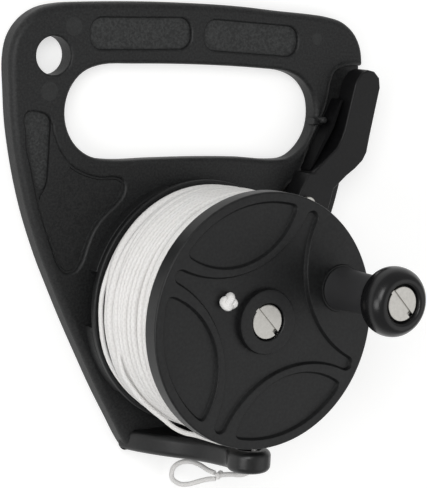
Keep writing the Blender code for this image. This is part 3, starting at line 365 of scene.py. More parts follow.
# Where the first turn stands apart: angle, half its span and how much.
LOOSE_SPOTS_DEG = ((174, 9, 0.8), (201, 13, 1.0))
LOOSE_OUT = 0.0009
LOOSE_OUT_TURNS = 5
LOOSE_GAP = 0.0044
LOOSE_GAP_TURNS = 1.6
LOOSE_IN = 0.0018
LINE_EXIT_DEG = -118
OUTER_SEED = 3.7
INNER_SEED = 8.2
FIRST_TAIL_STEPS = 8
OUTER_START_STEPS = 6


def wound_route(count, radius, base, top, seed, loose):
    """A helix of turns with a slow, uneven slack. The first turns stand off the drum on its left side."""
    points = []
    total = round(count * TURN_STEPS)
    for step in range(total + 1):
        angle_deg = LINE_EXIT_DEG - 360 * (total - step) / TURN_STEPS
        angle = math.radians(angle_deg)
        turn = step / TURN_STEPS
        out = Vector((math.cos(angle), math.sin(angle), 0))
        place = Vector((out.x * SLACK_PACE, out.y * SLACK_PACE, turn * SLACK_PACE + seed))
        standing = 0
        for spot, span, share in LOOSE_SPOTS_DEG:
            away = ((angle_deg - spot + 180) % 360 - 180) / span
            standing += loose * share * math.exp(-away * away / 2)
        wander = noise.noise(place) * SLACK_OUT + standing * LOOSE_OUT * math.exp(-turn / LOOSE_OUT_TURNS)
        shift = noise.noise(place + SLACK_APART) * SLACK_ALONG * min(turn, 1)
        if turn > FLAT_START:
            shift += standing * LOOSE_GAP * math.exp(-(turn - FLAT_START) / LOOSE_GAP_TURNS)
            wander -= standing * LOOSE_IN * math.exp(-(turn - FLAT_START))
        rise = max(turn - FLAT_START, 0) / (count - FLAT_START)
        height = min(base + (top - base) * rise + shift, top)
        points.append(out * (radius + wander) + Vector((0, 0, height)))
    return points


outer_turns = wound_route(TURN_COUNT, WIND_RADIUS, TURN_BASE, TURN_TOP, OUTER_SEED, 1)
inner_turns = wound_route(INNER_COUNT, INNER_RADIUS, INNER_BASE, INNER_TOP, INNER_SEED, 0)
first_end = round(FLAT_START * TURN_STEPS) + FIRST_TAIL_STEPS
WOUND_PIECES = (
    # name, route, width, height, first upright direction, nodes
    ("line_first_turn", outer_turns[:first_end], CORD_THICK, CORD_THICK, outer_turns[0], ["line_winding"]),
    ("line_outer_turns", outer_turns[first_end - OUTER_START_STEPS:], TURN_WIDTH, TURN_HIGH,
     outer_turns[first_end], ["line_winding", "line_core"]),
    ("line_inner_turns", inner_turns, TURN_WIDTH, TURN_HIGH, inner_turns[0], []),
)
for name, turns, wide, high, upward, nodes in WOUND_PIECES:
    cord_piece(name, turns, wide, high, upward, "drum", nodes)


# Handle plate. One moulding of black glass-filled nylon 9 mm thick, with rounded edges, a grip
# opening, a hanging hole, sunk panels, guard walls round the drum and the tongue of the line guide.
PLATE_WIDTH = 0.1672
PLATE_UPPER = 0.18255
PLATE_LOWER = 0.18475
PLATE_THICK = 0.0090
PLATE_ROUND = 0.0030
PLATE_BACK_ROUND = 0.0008
ROUND_STEPS = 6
OVERRUN = 0.0010
FLOOR_LEEWAY = 0.00004
PLATE_OUTLINE_SHARES = (
    (0.035, 0.659), (-0.123, 0.658), (-0.297, 0.651), (-0.386, 0.644), (-0.435, 0.632), (-0.474, 0.607),
    (-0.500, 0.571), (-0.509, 0.526), (-0.505, 0.462), (-0.498, 0.394), (-0.485, 0.327), (-0.467, 0.258),
    (-0.444, 0.189), (-0.407, 0.102), (-0.371, 0.031), (-0.332, -0.042), (-0.290, -0.115),
    (-0.246, -0.190), (-0.197, -0.266), (-0.169, -0.309), (-0.151, -0.330), (-0.126, -0.340),
    (-0.060, -0.341), (0.060, -0.341), (0.120, -0.340), (0.145, -0.330), (0.161, -0.309), (0.189, -0.266),
    (0.238, -0.190), (0.284, -0.115), (0.326, -0.042), (0.366, 0.031), (0.403, 0.102), (0.437, 0.180),
    (0.458, 0.252), (0.473, 0.327), (0.486, 0.411), (0.495, 0.482), (0.498, 0.530), (0.490, 0.575),
    (0.465, 0.611), (0.427, 0.634), (0.378, 0.644), (0.326, 0.648), (0.225, 0.652), (0.129, 0.657),
)
GRIP_WIDTH = 0.1197
GRIP_HEIGHT = 0.0387
GRIP_ROUND = 0.0022
GRIP_CENTRE = (-0.00075, 0.0765)
GRIP_OUTLINE_SHARES = (
    (0.006, 0.499), (-0.244, 0.488), (-0.368, 0.468), (-0.438, 0.385), (-0.483, 0.220), (-0.500, 0.008),
    (-0.488, -0.194), (-0.452, -0.359), (-0.396, -0.465), (-0.310, -0.501), (-0.156, -0.486),
    (0.036, -0.473), (0.202, -0.478), (0.324, -0.501), (0.401, -0.478), (0.457, -0.357), (0.491, -0.186),
    (0.500, 0.008), (0.486, 0.199), (0.443, 0.359), (0.377, 0.450), (0.257, 0.481),
)
HANG_CENTRE = (-0.0667, 0.0976)
HANG_RADIUS = 0.0075
HANG_ROUND = 0.0011
SLOT_LENGTH = 0.0462
SLOT_WIDTH = 0.0123
SLOT_DEPTH = 0.0016
SLOT_CORNER = 0.0052
SLOT_PLACES = (((-0.0279, 0.1074), math.radians(2)), ((0.0247, 0.1073), math.radians(-2)))
PANEL_ROUND = 0.0012
RECESS_DEPTH = 0.0009
RECESS_DEEPER = 0.0015
RECESS_OUTLINE_SHARES = (
    (-0.462, 0.361), (-0.447, 0.297), (-0.419, 0.204), (-0.384, 0.123), (-0.368, 0.089), (-0.348, 0.070),
    (-0.325, 0.071), (-0.307, 0.088), (-0.294, 0.121), (-0.278, 0.158), (-0.254, 0.188), (-0.213, 0.222),
    (-0.197, 0.244), (-0.201, 0.267), (-0.224, 0.276), (-0.260, 0.275), (-0.300, 0.283), (-0.343, 0.303),
    (-0.373, 0.334), (-0.391, 0.369), (-0.402, 0.398), (-0.437, 0.398),
)
POCKET_DEPTH = 0.0022
POCKET_OUTLINE_SHARES = (
    (-0.468, 0.405), (-0.464, 0.378), (-0.452, 0.329), (-0.438, 0.280), (-0.426, 0.253), (-0.413, 0.250),
    (-0.404, 0.264), (-0.401, 0.307), (-0.400, 0.361), (-0.401, 0.399), (-0.414, 0.411), (-0.458, 0.415),
)
WEDGE_OUTLINE = (
    (-0.0668, 0.0713), (-0.0654, 0.0688), (-0.0634, 0.0637), (-0.0604, 0.0592), (-0.0573, 0.0557),
    (-0.0604, 0.0513), (-0.0612, 0.0458), (-0.0630, 0.0376), (-0.0649, 0.0305), (-0.0662, 0.0280),
    (-0.0703, 0.0415), (-0.0677, 0.0466), (-0.0673, 0.0529), (-0.0666, 0.0624),
)
WEDGE_SPREAD = 0.0003
LEVER_PIVOT = (0.04878, 0.03939)
LEVER_LENGTH = 0.0580
BAY_DEPTH = 0.0042
BAY_ROUND = 0.0040
BAY_OUTLINE_SHARES = (
    (0.384, 0.964), (0.341, 0.914), (0.297, 0.703), (0.237, 0.561), (0.185, 0.457), (0.136, 0.325),
    (0.084, 0.190), (-0.020, 0.101), (-0.089, 0.016), (-0.101, -0.065), (-0.037, -0.147), (0.067, -0.204),
    (0.202, -0.207), (0.470, -0.198), (0.710, -0.163), (0.779, 0.356), (0.779, 0.873), (0.675, 0.989),
)
GUARD_RADIUS = 0.0495
GUARD_WALL = 0.0025
GUARD_HEIGHT = 0.0059
WALL_EDGE = 0.0004
BOSS_EDGE = 0.0005
GUARD_SPANS_DEG = ((108, 164), (190, 226), (314, 350))
AXLE_BOSS_RADIUS = 0.0140
AXLE_BOSS_TOP = 0.0139
AXLE_BORE_RADIUS = 0.0066
LUG_PLACE = (0.0607, 0.0742)
LUG_RADIUS = 0.0014
LUG_TOP = 0.0136
LUG_WEB_PLACE = (0.0596, 0.0735)
LUG_WEB_SIZE = (0.0052, 0.0030, 0.0006)
LUG_WEB_RISE = 0.0014
PIN_MARKS = ((-0.0587, 0.1091, 0.0036), (-0.0683, 0.0839, 0.0037), (0.0574, 0.1081, 0.0025))
TONGUE_BACK = -0.0622
TONGUE_FRONT = -0.0532
TONGUE_ROUND = 0.0026
TONGUE_FOOT = 0.0030
EYELET_ROUND = 0.0014
EYELET_SIDE = 0.0035
EYELET_REACH = 0.0524
EYELET_OUTER = 0.0090
EYELET_HOLE = 0.0043
TONGUE_LEFT_SHARES = (
    (3.40, 0.040), (3.24, 0.165), (2.84, 0.300), (2.30, 0.440), (1.76, 0.560), (1.30, 0.680),
    (1.00, 0.790),
)
TONGUE_RIGHT_SHARES = (
    (2.45, 0.040), (2.35, 0.165), (2.12, 0.300), (1.82, 0.440), (1.50, 0.560), (1.20, 0.680),
    (0.98, 0.790),
)


def smooth_loop(points, steps):
    """Points on a closed smooth curve through the given ones."""
    count = len(points)
    loop = []
    for index in range(count):
        before, start, end, after = (points[(index + shift) % count] for shift in (-1, 0, 1, 2))
        loop += [curve_point(before, start, end, after, step / steps) for step in range(steps)]
    return loop


def scaled(shares, width, height, centre=(0, 0)):
    """The real points of an outline that is given in shares of a width and a height."""
    return [Vector((centre[0] + x * width, centre[1] + y * height)) for x, y in shares]


def inset_loop(points, distance):
    """Moves each point of a closed outline inwards by a distance."""
    count = len(points)
    area = sum(a.x * b.y - b.x * a.y for a, b in zip(points, points[1:] + points[:1]))
    side = 1 if area > 0 else -1
    moved = []
    for index, point in enumerate(points):
        ahead = (points[(index + 1) % count] - point).normalized()
        behind = (point - points[index - 1]).normalized()
        inward = Vector((-(ahead.y + behind.y), ahead.x + behind.x)) * side
        inward.normalize()
        lean = max(inward.dot(Vector((-ahead.y, ahead.x)) * side), 0.6)
        moved.append(point + inward * distance / lean)
    return moved


def upright(point, height):
    """A point of an outline drawn flat on the plate."""
    return Vector((point.x, point.y, height))


def crosswise(point, height):
    """A point of an outline drawn across the reel, square to the plate's long side."""
    return Vector((point.x, height, point.y))


def lofted(name, outline, levels, stand=upright):
    """A solid drawn up from an outline through levels, each a height and an inset."""
    form = bmesh.new()
    place = form.verts.layers.int.new("place")
    corners = [form.verts.new(stand(point, levels[0][0])) for point in inset_loop(outline, levels[0][1])]
    for index, corner in enumerate(corners):
        corner[place] = index
    face = form.faces.new(corners)
    inner = None
    for height, inset in levels[1:]:
        raised = bmesh.ops.extrude_face_region(form, geom=[face])["geom"]
        loop = inset_loop(outline, inset)
        for part in raised:
            if isinstance(part, bmesh.types.BMVert):
                part.co = stand(loop[part[place]], height)
            elif isinstance(part, bmesh.types.BMFace):
                face = part
        if inner:
            bmesh.ops.delete(form, geom=[inner], context="FACES_ONLY")
        inner = face
    bmesh.ops.recalc_face_normals(form, faces=form.faces)
    return finished_mesh(name, form)


def chamfered(base, top, edge):
    """Levels of a solid whose upper edge is cut off at a slant."""
    return [(base, 0), (top - edge, 0), (top, edge)]


def quarter_round(radius, steps):
    """A quarter circle, from the side of a solid up to its face: each point's depth and inset."""
    turns = [math.pi / 2 * step / steps for step in range(steps + 1)]
    return [(radius * (1 - math.sin(turn)), radius * (1 - math.cos(turn))) for turn in turns]


def rounded_levels(base, top, low_radius, top_radius, steps=ROUND_STEPS):
    """Levels of a solid whose two outer edges are rounded."""
    low = [(base + depth, inset) for depth, inset in reversed(quarter_round(low_radius, steps))]
    return low + [(top - depth, inset) for depth, inset in quarter_round(top_radius, steps)]


def flared_levels(base, top, low_radius, top_radius, steps=ROUND_STEPS):
    """Levels of a cutter that leaves rounded edges at the faces it goes through."""
    low = [(base, 0)]
    if low_radius:
        low = [(base + depth, -inset) for depth, inset in reversed(quarter_round(low_radius, steps))]
        low.insert(0, (base - OVERRUN, -low_radius))
    high = [(top - depth, -inset) for depth, inset in quarter_round(top_radius, steps)]
    return [*low, *high, (top + OVERRUN, -top_radius)]


def carved(name, base, cutters):
    """A mesh with other shapes cut out of it."""
    target = scene_object(name, base)
    helpers = [target]
    for cutter in cutters:
        helper = scene_object(cutter.name, cutter)
        helpers.append(helper)
        step = target.modifiers.new(cutter.name, "BOOLEAN")
        step.operation = "DIFFERENCE"
        step.solver = "EXACT"
        step.object = helper
    bpy.context.view_layer.update()
    mesh = bpy.data.meshes.new_from_object(target.evaluated_get(bpy.context.evaluated_depsgraph_get()))
    mesh.name = name
    for helper in helpers:
        bpy.data.objects.remove(helper)
    return mesh


def joined(name, meshes):
    """Several closed shapes of one moulding as one mesh."""
    form = bmesh.new()
    for mesh in meshes:
        form.from_mesh(mesh)
    return finished_mesh(name, form)


def circle(centre, radius, count):
    """The outline of a circle."""
    return [Vector(centre) + on_ring(radius, 360 * step / count) for step in range(count)]


def bored(name, centre, radius, sides, low, top):
    """A cutter for a round hole that comes out at the top."""
    return lofted(name, circle(centre, radius, sides), [(low, 0), (top + OVERRUN, 0)])


def crisp(piece, sharp_deg=34):
    """Keeps flat faces flat and edges crisp in the shading of a smooth piece."""
    piece.data.set_sharp_from_angle(angle=math.radians(sharp_deg))
    step = piece.modifiers.new("even shading", "WEIGHTED_NORMAL")
    step.keep_sharp = True
    return piece


def turned_by(point, angle):
    """A flat point turned about the origin."""
    return Matrix.Rotation(angle, 2) @ point


def rounded_slot(width, height, corner, tilt, centre, steps=8):
    """The outline of a slot with rounded corners, turned a little."""
    outline = []
    for quarter, (side, end) in enumerate(((1, 1), (-1, 1), (-1, -1), (1, -1))):
        middle = Vector((side * (width / 2 - corner), end * (height / 2 - corner)))
        outline += [middle + on_ring(corner, 90 * (quarter + step / steps)) for step in range(steps + 1)]
    return [Vector(centre) + turned_by(point, tilt) for point in outline]


def frame_piece(name, mesh, surface):
    """Adds one part of the frame's moulding."""
    return crisp(add_piece(name, mesh, surface, "reel_frame", ["frame"]))


# The gloss varies over 14 mm. A mould's grain is 0.1 to 0.4 mm, and each one below is drawn at 0.7 to
# 1.2 mm so that it shows.
CLOUDS_MM = 14.0


def moulded(name, low, high, roughness, grain_mm, grain_depth, shine=0.5):
    """Moulded plastic: a fine grain from the mould, with a slightly uneven tone and gloss."""
    surface, shader = new_surface(name)
    place = add_node(surface, "ShaderNodeTexCoord")
    grain = add_node(surface, "ShaderNodeTexNoise", {
        "Vector": place.outputs["Object"], "Scale": 1000 / grain_mm, "Detail": 3.0, "Roughness": 0.6})
    clouds = add_node(surface, "ShaderNodeTexNoise", {
        "Vector": place.outputs["Object"], "Scale": 1000 / CLOUDS_MM, "Detail": 3.0})
    speck = add_node(surface, "ShaderNodeMapRange", {0: grain, 1: 0.38, 2: 0.66})
    tone = add_node(surface, "ShaderNodeMix", {0: speck, 6: low, 7: high}, data_type="RGBA")
    gloss = add_node(surface, "ShaderNodeMapRange", {
        0: clouds, 3: roughness - 0.05, 4: roughness + 0.05})
    bump = add_node(surface, "ShaderNodeBump", {
        "Strength": 0.6, "Distance": grain_depth, "Height": grain})
    feed(surface, shader, {"Base Color": tone.outputs[2], "Roughness": gloss, "Normal": bump,
                           "Specular IOR Level": shine})
    return surface


# Glass-filled nylon from a spark-eroded mould: near black, with a grain that scatters a dull sheen.
# Its grain is 0.4 mm, drawn at 0.9 mm.
nylon = moulded("glass-filled nylon", "#101011", "#232424", 0.52, 0.9, 0.00022, 0.35)

plate_outline = smooth_loop([Vector((x * PLATE_WIDTH, y * (PLATE_UPPER if y > 0 else PLATE_LOWER)))
                             for x, y in PLATE_OUTLINE_SHARES], 5)
grip_outline = smooth_loop(scaled(GRIP_OUTLINE_SHARES, GRIP_WIDTH, GRIP_HEIGHT, GRIP_CENTRE), 4)
plate_cutters = [
    lofted("grip_cut", grip_outline, flared_levels(0, PLATE_THICK, GRIP_ROUND, GRIP_ROUND)),
    lofted("hanging_cut", circle(HANG_CENTRE, HANG_RADIUS, 64),
           flared_levels(0, PLATE_THICK, HANG_ROUND, HANG_ROUND)),
]
# The grip's two slots are sunk in the plate's front and, the same, in its back.
front_levels = flared_levels(PLATE_THICK - SLOT_DEPTH, PLATE_THICK, 0, PANEL_ROUND)
back_levels = [(PLATE_THICK - height, inset) for height, inset in front_levels]
for number, (centre, tilt) in enumerate(SLOT_PLACES):
    slot = rounded_slot(SLOT_LENGTH, SLOT_WIDTH, SLOT_CORNER, tilt, centre)
    plate_cutters.append(lofted(f"front_slot_cut_{number}", slot, front_levels))
    plate_cutters.append(lofted(f"back_slot_cut_{number}", slot, back_levels))
for name, shares, depth in (("recess_cut", RECESS_OUTLINE_SHARES, RECESS_DEPTH),
                            ("pocket_cut", POCKET_OUTLINE_SHARES, POCKET_DEPTH)):
    panel = smooth_loop(scaled(shares, PLATE_WIDTH, PLATE_UPPER), 4)
    panel_levels = flared_levels(PLATE_THICK - depth, PLATE_THICK, 0, PANEL_ROUND)
    plate_cutters.append(lofted(name, panel, panel_levels))
wedge = smooth_loop([Vector(point) for point in WEDGE_OUTLINE], 3)
recess = smooth_loop(scaled(RECESS_OUTLINE_SHARES, PLATE_WIDTH, PLATE_UPPER), 4)
deep_levels = [(PLATE_THICK - RECESS_DEEPER, 0.0010), (PLATE_THICK - RECESS_DEPTH + 0.0002, 0.0006)]
plate_cutters.append(carved("deep_recess_cut", lofted("deep_recess_cut", recess, deep_levels),
                            [lofted("wedge", wedge, [(0, -WEDGE_SPREAD), (PLATE_THICK, -WEDGE_SPREAD)])]))
bay = smooth_loop(scaled(BAY_OUTLINE_SHARES, LEVER_LENGTH, LEVER_LENGTH, LEVER_PIVOT), 4)
bay_levels = flared_levels(PLATE_THICK - BAY_DEPTH, PLATE_THICK, 0, BAY_ROUND)
plate_cutters.append(lofted("bay_cut", bay, bay_levels))
plate_levels = rounded_levels(0, PLATE_THICK, PLATE_BACK_ROUND, PLATE_ROUND)
plate_mesh = carved("handle_plate", lofted("handle_plate", plate_outline, plate_levels), plate_cutters)
handle_plate = frame_piece("handle_plate", plate_mesh, nylon)
# The floors of the slots and of the pocket keep a coarser, paler grain, left by the spark on the mould.
sparked = moulded("coarse-sparked nylon", "#1a1b1b", "#343535", 0.60, 1.0, 0.00030, 0.42)
handle_plate.data.materials.append(sparked)
for face in handle_plate.data.polygons:
    drop = PLATE_THICK - face.center.z
    if face.normal.z > 0.99 and min(abs(drop - SLOT_DEPTH), abs(drop - POCKET_DEPTH)) < FLOOR_LEEWAY:
        face.material_index = 1

wall_meshes = []
for start, end in GUARD_SPANS_DEG:
    steps = round((end - start) / 3)
    angles = [start + (end - start) * step / steps for step in range(steps + 1)]
    wall = [on_ring(GUARD_RADIUS, angle) for angle in angles]
    wall += [on_ring(GUARD_RADIUS - GUARD_WALL, angle) for angle in reversed(angles)]
    wall_meshes.append(lofted("guard_wall", wall,
                              chamfered(PLATE_THICK / 2, PLATE_THICK + GUARD_HEIGHT, WALL_EDGE)))
frame_piece("guard_walls", joined("guard_walls", wall_meshes), nylon)

boss = lofted("axle_boss", circle((0, 0), AXLE_BOSS_RADIUS, 64),
              chamfered(PLATE_THICK / 2, AXLE_BOSS_TOP, BOSS_EDGE))
boss = carved("axle_boss", boss,
              [bored("axle_bore", (0, 0), AXLE_BORE_RADIUS, 48, PLATE_THICK / 4, AXLE_BOSS_TOP)])
frame_piece("axle_boss", boss, nylon)

lug_meshes = [lofted("stop_lug", circle(LUG_PLACE, LUG_RADIUS, 24),
                     chamfered(PLATE_THICK / 2, LUG_TOP, BOSS_EDGE)),
              lofted("lug_web", rounded_slot(*LUG_WEB_SIZE, 0, LUG_WEB_PLACE, 3),
                     chamfered(PLATE_THICK / 2, PLATE_THICK + LUG_WEB_RISE, WALL_EDGE))]
frame_piece("leaf_stop", joined("leaf_stop", lug_meshes), nylon)

left = [Vector((EYELET_SIDE - x * EYELET_OUTER, y * EYELET_REACH)) for x, y in TONGUE_LEFT_SHARES]
right = [Vector((EYELET_SIDE + x * EYELET_OUTER, y * EYELET_REACH)) for x, y in TONGUE_RIGHT_SHARES]
# The ring runs over the top, from 215 degrees at the left down to -35 at the right.
ring = [Vector((EYELET_SIDE, EYELET_REACH)) + on_ring(EYELET_OUTER, 215 - 250 * step / 8)
        for step in range(9)]
tongue_outline = [Vector((point.x, max(point.y, TONGUE_FOOT)))
                  for point in smooth_loop([*left, *ring, *right[::-1]], 4)]
tongue_levels = rounded_levels(TONGUE_BACK, TONGUE_FRONT, TONGUE_ROUND, TONGUE_ROUND)
eyelet_levels = flared_levels(TONGUE_BACK, TONGUE_FRONT, EYELET_ROUND, EYELET_ROUND)
eyelet_hole = circle((EYELET_SIDE, EYELET_REACH), EYELET_HOLE, 40)
tongue = carved("line_guide", lofted("line_guide", tongue_outline, tongue_levels, crosswise),
                [lofted("eyelet_cut", eyelet_hole, eyelet_levels, crosswise)])
# The tongue comes from a polished part of the same mould, so that the line runs over it freely.
smooth_nylon = moulded("polished glass-filled nylon", "#101011", "#181919", 0.36, 1.2, 0.00003, 0.45)
frame_piece("line_guide", tongue, smooth_nylon)

# Marks of the mould's ejector pins: smooth round spots that stand just proud of the grain.
pin_plastic = moulded("polished pin mark", "#1a1b1b", "#262727", 0.50, 0.8, 0.00003, 0.40)
pin_levels = [(PLATE_THICK - 0.0005, 0), (PLATE_THICK + 0.00002, 0), (PLATE_THICK + 0.00006, 0.00012)]
pin_meshes = [lofted("pin_mark", circle(place, radius, 32), pin_levels) for *place, radius in PIN_MARKS]
crisp(add_piece("pin_marks", joined("pin_marks", pin_meshes), pin_plastic, "reel_frame", []))


# Drum. The rear flange and hub are one satin black moulding, and the thick front flange is another,
# with four sunk lenses and a star between them, a hub boss and the boss that carries the knob.
LENS_TURN = math.radians(19.6)
LENS_CENTRE_SHARE = 1.142
LENS_RADIUS_SHARE = 0.652
LENS_CORNER_SHARE = 0.03
STAR_CENTRE_SHARE = 1.28
STAR_RADIUS_SHARE = 0.85
STAR_REACH_SHARE = 0.91
ARC_STEPS = 28
FACE_DEPTH = 0.0018
FACE_RIM = 0.0035
FRONT_TOP = 0.0654
EDGE_ROUND = 0.0008
FRONT_LIP = 0.0004
REAR_BASE = 0.0154
REAR_TOP = 0.0186
HUB_TOP = 0.0576
HUB_INNER = 0.0220
HUB_RADIUS = 0.0250
DRUM_BORE = 0.0063
SHOULDER_TOP = 0.0612
HUB_BOSS_RADIUS = 0.0128
HUB_BOSS_TOP = 0.0664
HEAD_WELL_RADIUS = 0.0074
KNOB_PLACE = (0.034573, 0.011702)
KNOB_BOSS_RADIUS = 0.0096
WEB_OUTLINE = (
    (0.0300, 0.0120), (0.0330, 0.0030), (0.0385, 0.0010), (0.0433, -0.0007), (0.0457, -0.0017),
    (0.0475, -0.0010), (0.0474, 0.0100), (0.0445, 0.0190), (0.0400, 0.0266), (0.0384, 0.0278),
    (0.0377, 0.0265), (0.0374, 0.0240), (0.0366, 0.0224), (0.0325, 0.0210),
)
LENS_SOFT = 0.0017
STAR_SOFT = 0.0011
WEB_SOFT = 0.0006
KNOB_BOSS_TOP = 0.0662
KNOB_SOCKET_RADIUS = 0.0044
KNOB_SOCKET_FLOOR = FRONT_BASE + 0.0015
# The bosses start inside the flange, and the bores start below its spigot.
BOSS_ROOT = FRONT_BASE + 0.0005
WELL_EDGE = 0.0003
BORE_WALL = 0.0030
SPIGOT_GAP = 0.0003
SPIGOT_DEPTH = 0.0040
SPIGOT_RUN = 0.0060
FACE_CORE = 0.0040
ANCHOR_PLACE = (-0.01831, 0.00854)
ANCHOR_HOLE_RADIUS = 0.0013


def turned(name, profile, sides, centre=(0, 0)):
    """Spins a closed profile of (radius, height) points about an upright line."""
    form = bmesh.new()
    points = [form.verts.new((radius, 0, height)) for radius, height in profile]
    edges = [form.edges.new(pair) for pair in zip(points, points[1:] + points[:1])]
    bmesh.ops.spin(form, geom=points + edges, cent=(0, 0, 0), axis=(0, 0, 1), angle=math.tau, steps=sides,
                   use_merge=True)
    bmesh.ops.remove_doubles(form, verts=form.verts, dist=0.000001)
    bmesh.ops.recalc_face_normals(form, faces=form.faces)
    bmesh.ops.translate(form, verts=form.verts, vec=(*centre, 0))
    return finished_mesh(name, form)


def rim_profile(radius, low, high):
    """The rounded edge of a flange, from its upper face round to its lower one."""
    corner = quarter_round(EDGE_ROUND, ROUND_STEPS)
    return ([(radius - inset, high - depth) for depth, inset in reversed(corner)]
            + [(radius - inset, low + depth) for depth, inset in corner])


# ABS from a lightly blasted mould: satin, almost smooth, a little darker than the plate.
satin = moulded("satin ABS", "#101011", "#1a1b1b", 0.44, 1.1, 0.00006, 0.32)

rear_profile = [
    (HUB_INNER, HUB_TOP), (HUB_RADIUS, HUB_TOP), (HUB_RADIUS, REAR_TOP),
    *rim_profile(FLANGE_RADIUS, REAR_BASE, REAR_TOP),
    (DRUM_BORE, REAR_BASE), (DRUM_BORE, HUB_TOP), (DRUM_BORE + BORE_WALL, HUB_TOP),
    (DRUM_BORE + BORE_WALL, REAR_TOP), (HUB_INNER, REAR_TOP),
]
crisp(add_piece("rear_flange", turned("rear_flange", rear_profile, 160), satin, "drum",
                ["drum_rear_half"]))

# The front flange has a spigot that goes into the rear half's hub, with a little room on both sides.
spigot_outer = HUB_INNER - SPIGOT_GAP
spigot_inner = DRUM_BORE + BORE_WALL + SPIGOT_GAP
front_profile = [
    (FACE_CORE, FRONT_BASE), (FACE_CORE, FRONT_TOP),
    *rim_profile(FLANGE_RADIUS + FRONT_LIP, FRONT_BASE, FRONT_TOP),
    (spigot_outer, FRONT_BASE), (spigot_outer, FRONT_BASE - SPIGOT_DEPTH),
    (spigot_inner, FRONT_BASE - SPIGOT_DEPTH), (spigot_inner, FRONT_BASE),
]


def softened(outline, reach, pace=0.0005):
    """Rounds the corners of a closed outline, over a reach to each side of them."""
    evened = []
    carry = 0.0
    for start, end in zip(outline, outline[1:] + outline[:1]):
        span = (end - start).length
        while carry < span:
            evened.append(start.lerp(end, carry / span))
            carry += pace
        carry -= span
    window = range(-round(reach / pace), round(reach / pace) + 1)
    for _ in range(2):
        evened = [sum((evened[(index + shift) % len(evened)] for shift in window), Vector((0, 0)))
                  / len(window) for index in range(len(evened))]
    return evened


def arc_points(centre, radius, start, end):
    """Points on an arc whose centre is so far along the x axis."""
    angles = [start + (end - start) * step / ARC_STEPS for step in range(ARC_STEPS + 1)]
    return [Vector((centre + radius * math.cos(angle), radius * math.sin(angle))) for angle in angles]


def lens_outline(turn):
    """One sunk lens: its outer side follows the rim, its inner side is a hollow arc."""
    rim = FLANGE_RADIUS - FACE_RIM
    centre = LENS_CENTRE_SHARE * FLANGE_RADIUS
    radius = LENS_RADIUS_SHARE * FLANGE_RADIUS
    tip = math.acos((rim ** 2 + centre ** 2 - radius ** 2) / (2 * rim * centre)) * (1 - LENS_CORNER_SHARE)
    reach = math.atan2(rim * math.sin(tip), centre - rim * math.cos(tip)) * (1 - LENS_CORNER_SHARE)
    points = arc_points(0, rim, -tip, tip) + arc_points(centre, radius, math.pi - reach, math.pi + reach)
    return [turned_by(point, turn) for point in points]


def star_outline():
    """The sunk star: four hollow sides and four narrow rounded tips."""
    centre = STAR_CENTRE_SHARE * FLANGE_RADIUS
    radius = STAR_RADIUS_SHARE * FLANGE_RADIUS
    reach = STAR_REACH_SHARE * FLANGE_RADIUS
    span = math.acos((centre ** 2 + radius ** 2 - reach ** 2) / (2 * centre * radius))
    points = []
    for side in range(4):
        turn = LENS_TURN + side * math.tau / 4
        points += [turned_by(point, turn)
                   for point in arc_points(centre, radius, math.pi + span, math.pi - span)]
        points.append(turned_by(Vector((reach + FACE_DEPTH, 0)), turn + math.pi / 4))
    return points


def head_well(low):
    """A cutter for the screw head's well, from a height up, with its edge broken."""
    return lofted("head_well", circle((0, 0), HEAD_WELL_RADIUS, 64), [
        (low, 0), (HUB_BOSS_TOP - WELL_EDGE, 0), (HUB_BOSS_TOP, -WELL_EDGE),
        (HUB_BOSS_TOP + OVERRUN, -WELL_EDGE)])


def knob_socket(low):
    """A cutter for the knob's socket, from a height up."""
    return bored("knob_socket", KNOB_PLACE, KNOB_SOCKET_RADIUS, 40, low, KNOB_BOSS_TOP)


# The sunk lenses and the star have a small fillet at the floor and a rounded upper edge.
face_levels = [(FRONT_TOP - FACE_DEPTH, 0.0009), (FRONT_TOP - FACE_DEPTH + 0.0002, 0.0005),
               (FRONT_TOP - 0.0007, 0.0), (FRONT_TOP - 0.00033, -0.0001), (FRONT_TOP - 0.0001, -0.0003),
               (FRONT_TOP, -0.0007), (FRONT_TOP + OVERRUN, -0.0007)]
face_cutters = [lofted(f"lens_cut_{number}",
                       softened(lens_outline(LENS_TURN + number * math.tau / 4), LENS_SOFT), face_levels)
                for number in range(4)]
# A web keeps the first lens clear of the knob's boss.
web_levels = [(FRONT_TOP - FACE_DEPTH - OVERRUN, -0.0006), (FRONT_TOP - FACE_DEPTH, -0.0006),
              (FRONT_TOP - 0.0007, 0), (FRONT_TOP - 0.0003, 0.0001), (FRONT_TOP - 0.0001, 0.0003),
              (FRONT_TOP, 0.0007), (FRONT_TOP + OVERRUN * 2, 0.0007)]
web = lofted("web", softened([Vector(point) for point in WEB_OUTLINE], WEB_SOFT), web_levels)
face_cutters[0] = carved("lens_cut_0", face_cutters[0], [web])
face_cutters.append(lofted("star_cut", softened(star_outline(), STAR_SOFT), face_levels))
face_mesh = carved("flange_face", turned("flange_face", front_profile, 192), face_cutters)
face_mesh = carved("front_flange", face_mesh, [
    head_well(SHOULDER_TOP),
    bored("axle_hole", (0, 0), DRUM_BORE, 64, FRONT_BASE - SPIGOT_RUN, SHOULDER_TOP),
    bored("anchor_hole", ANCHOR_PLACE, ANCHOR_HOLE_RADIUS, 24, FRONT_BASE - SPIGOT_RUN, FRONT_TOP),
    knob_socket(KNOB_SOCKET_FLOOR),
])
hub_boss = lofted("hub_boss", circle((0, 0), HUB_BOSS_RADIUS, 96),
                  [(BOSS_ROOT, 0), (HUB_BOSS_TOP - 0.0008, 0), (HUB_BOSS_TOP - 0.00025, 0.00025),
                   (HUB_BOSS_TOP, 0.0009)])
hub_boss = carved("hub_boss", hub_boss, [head_well(FRONT_BASE)])
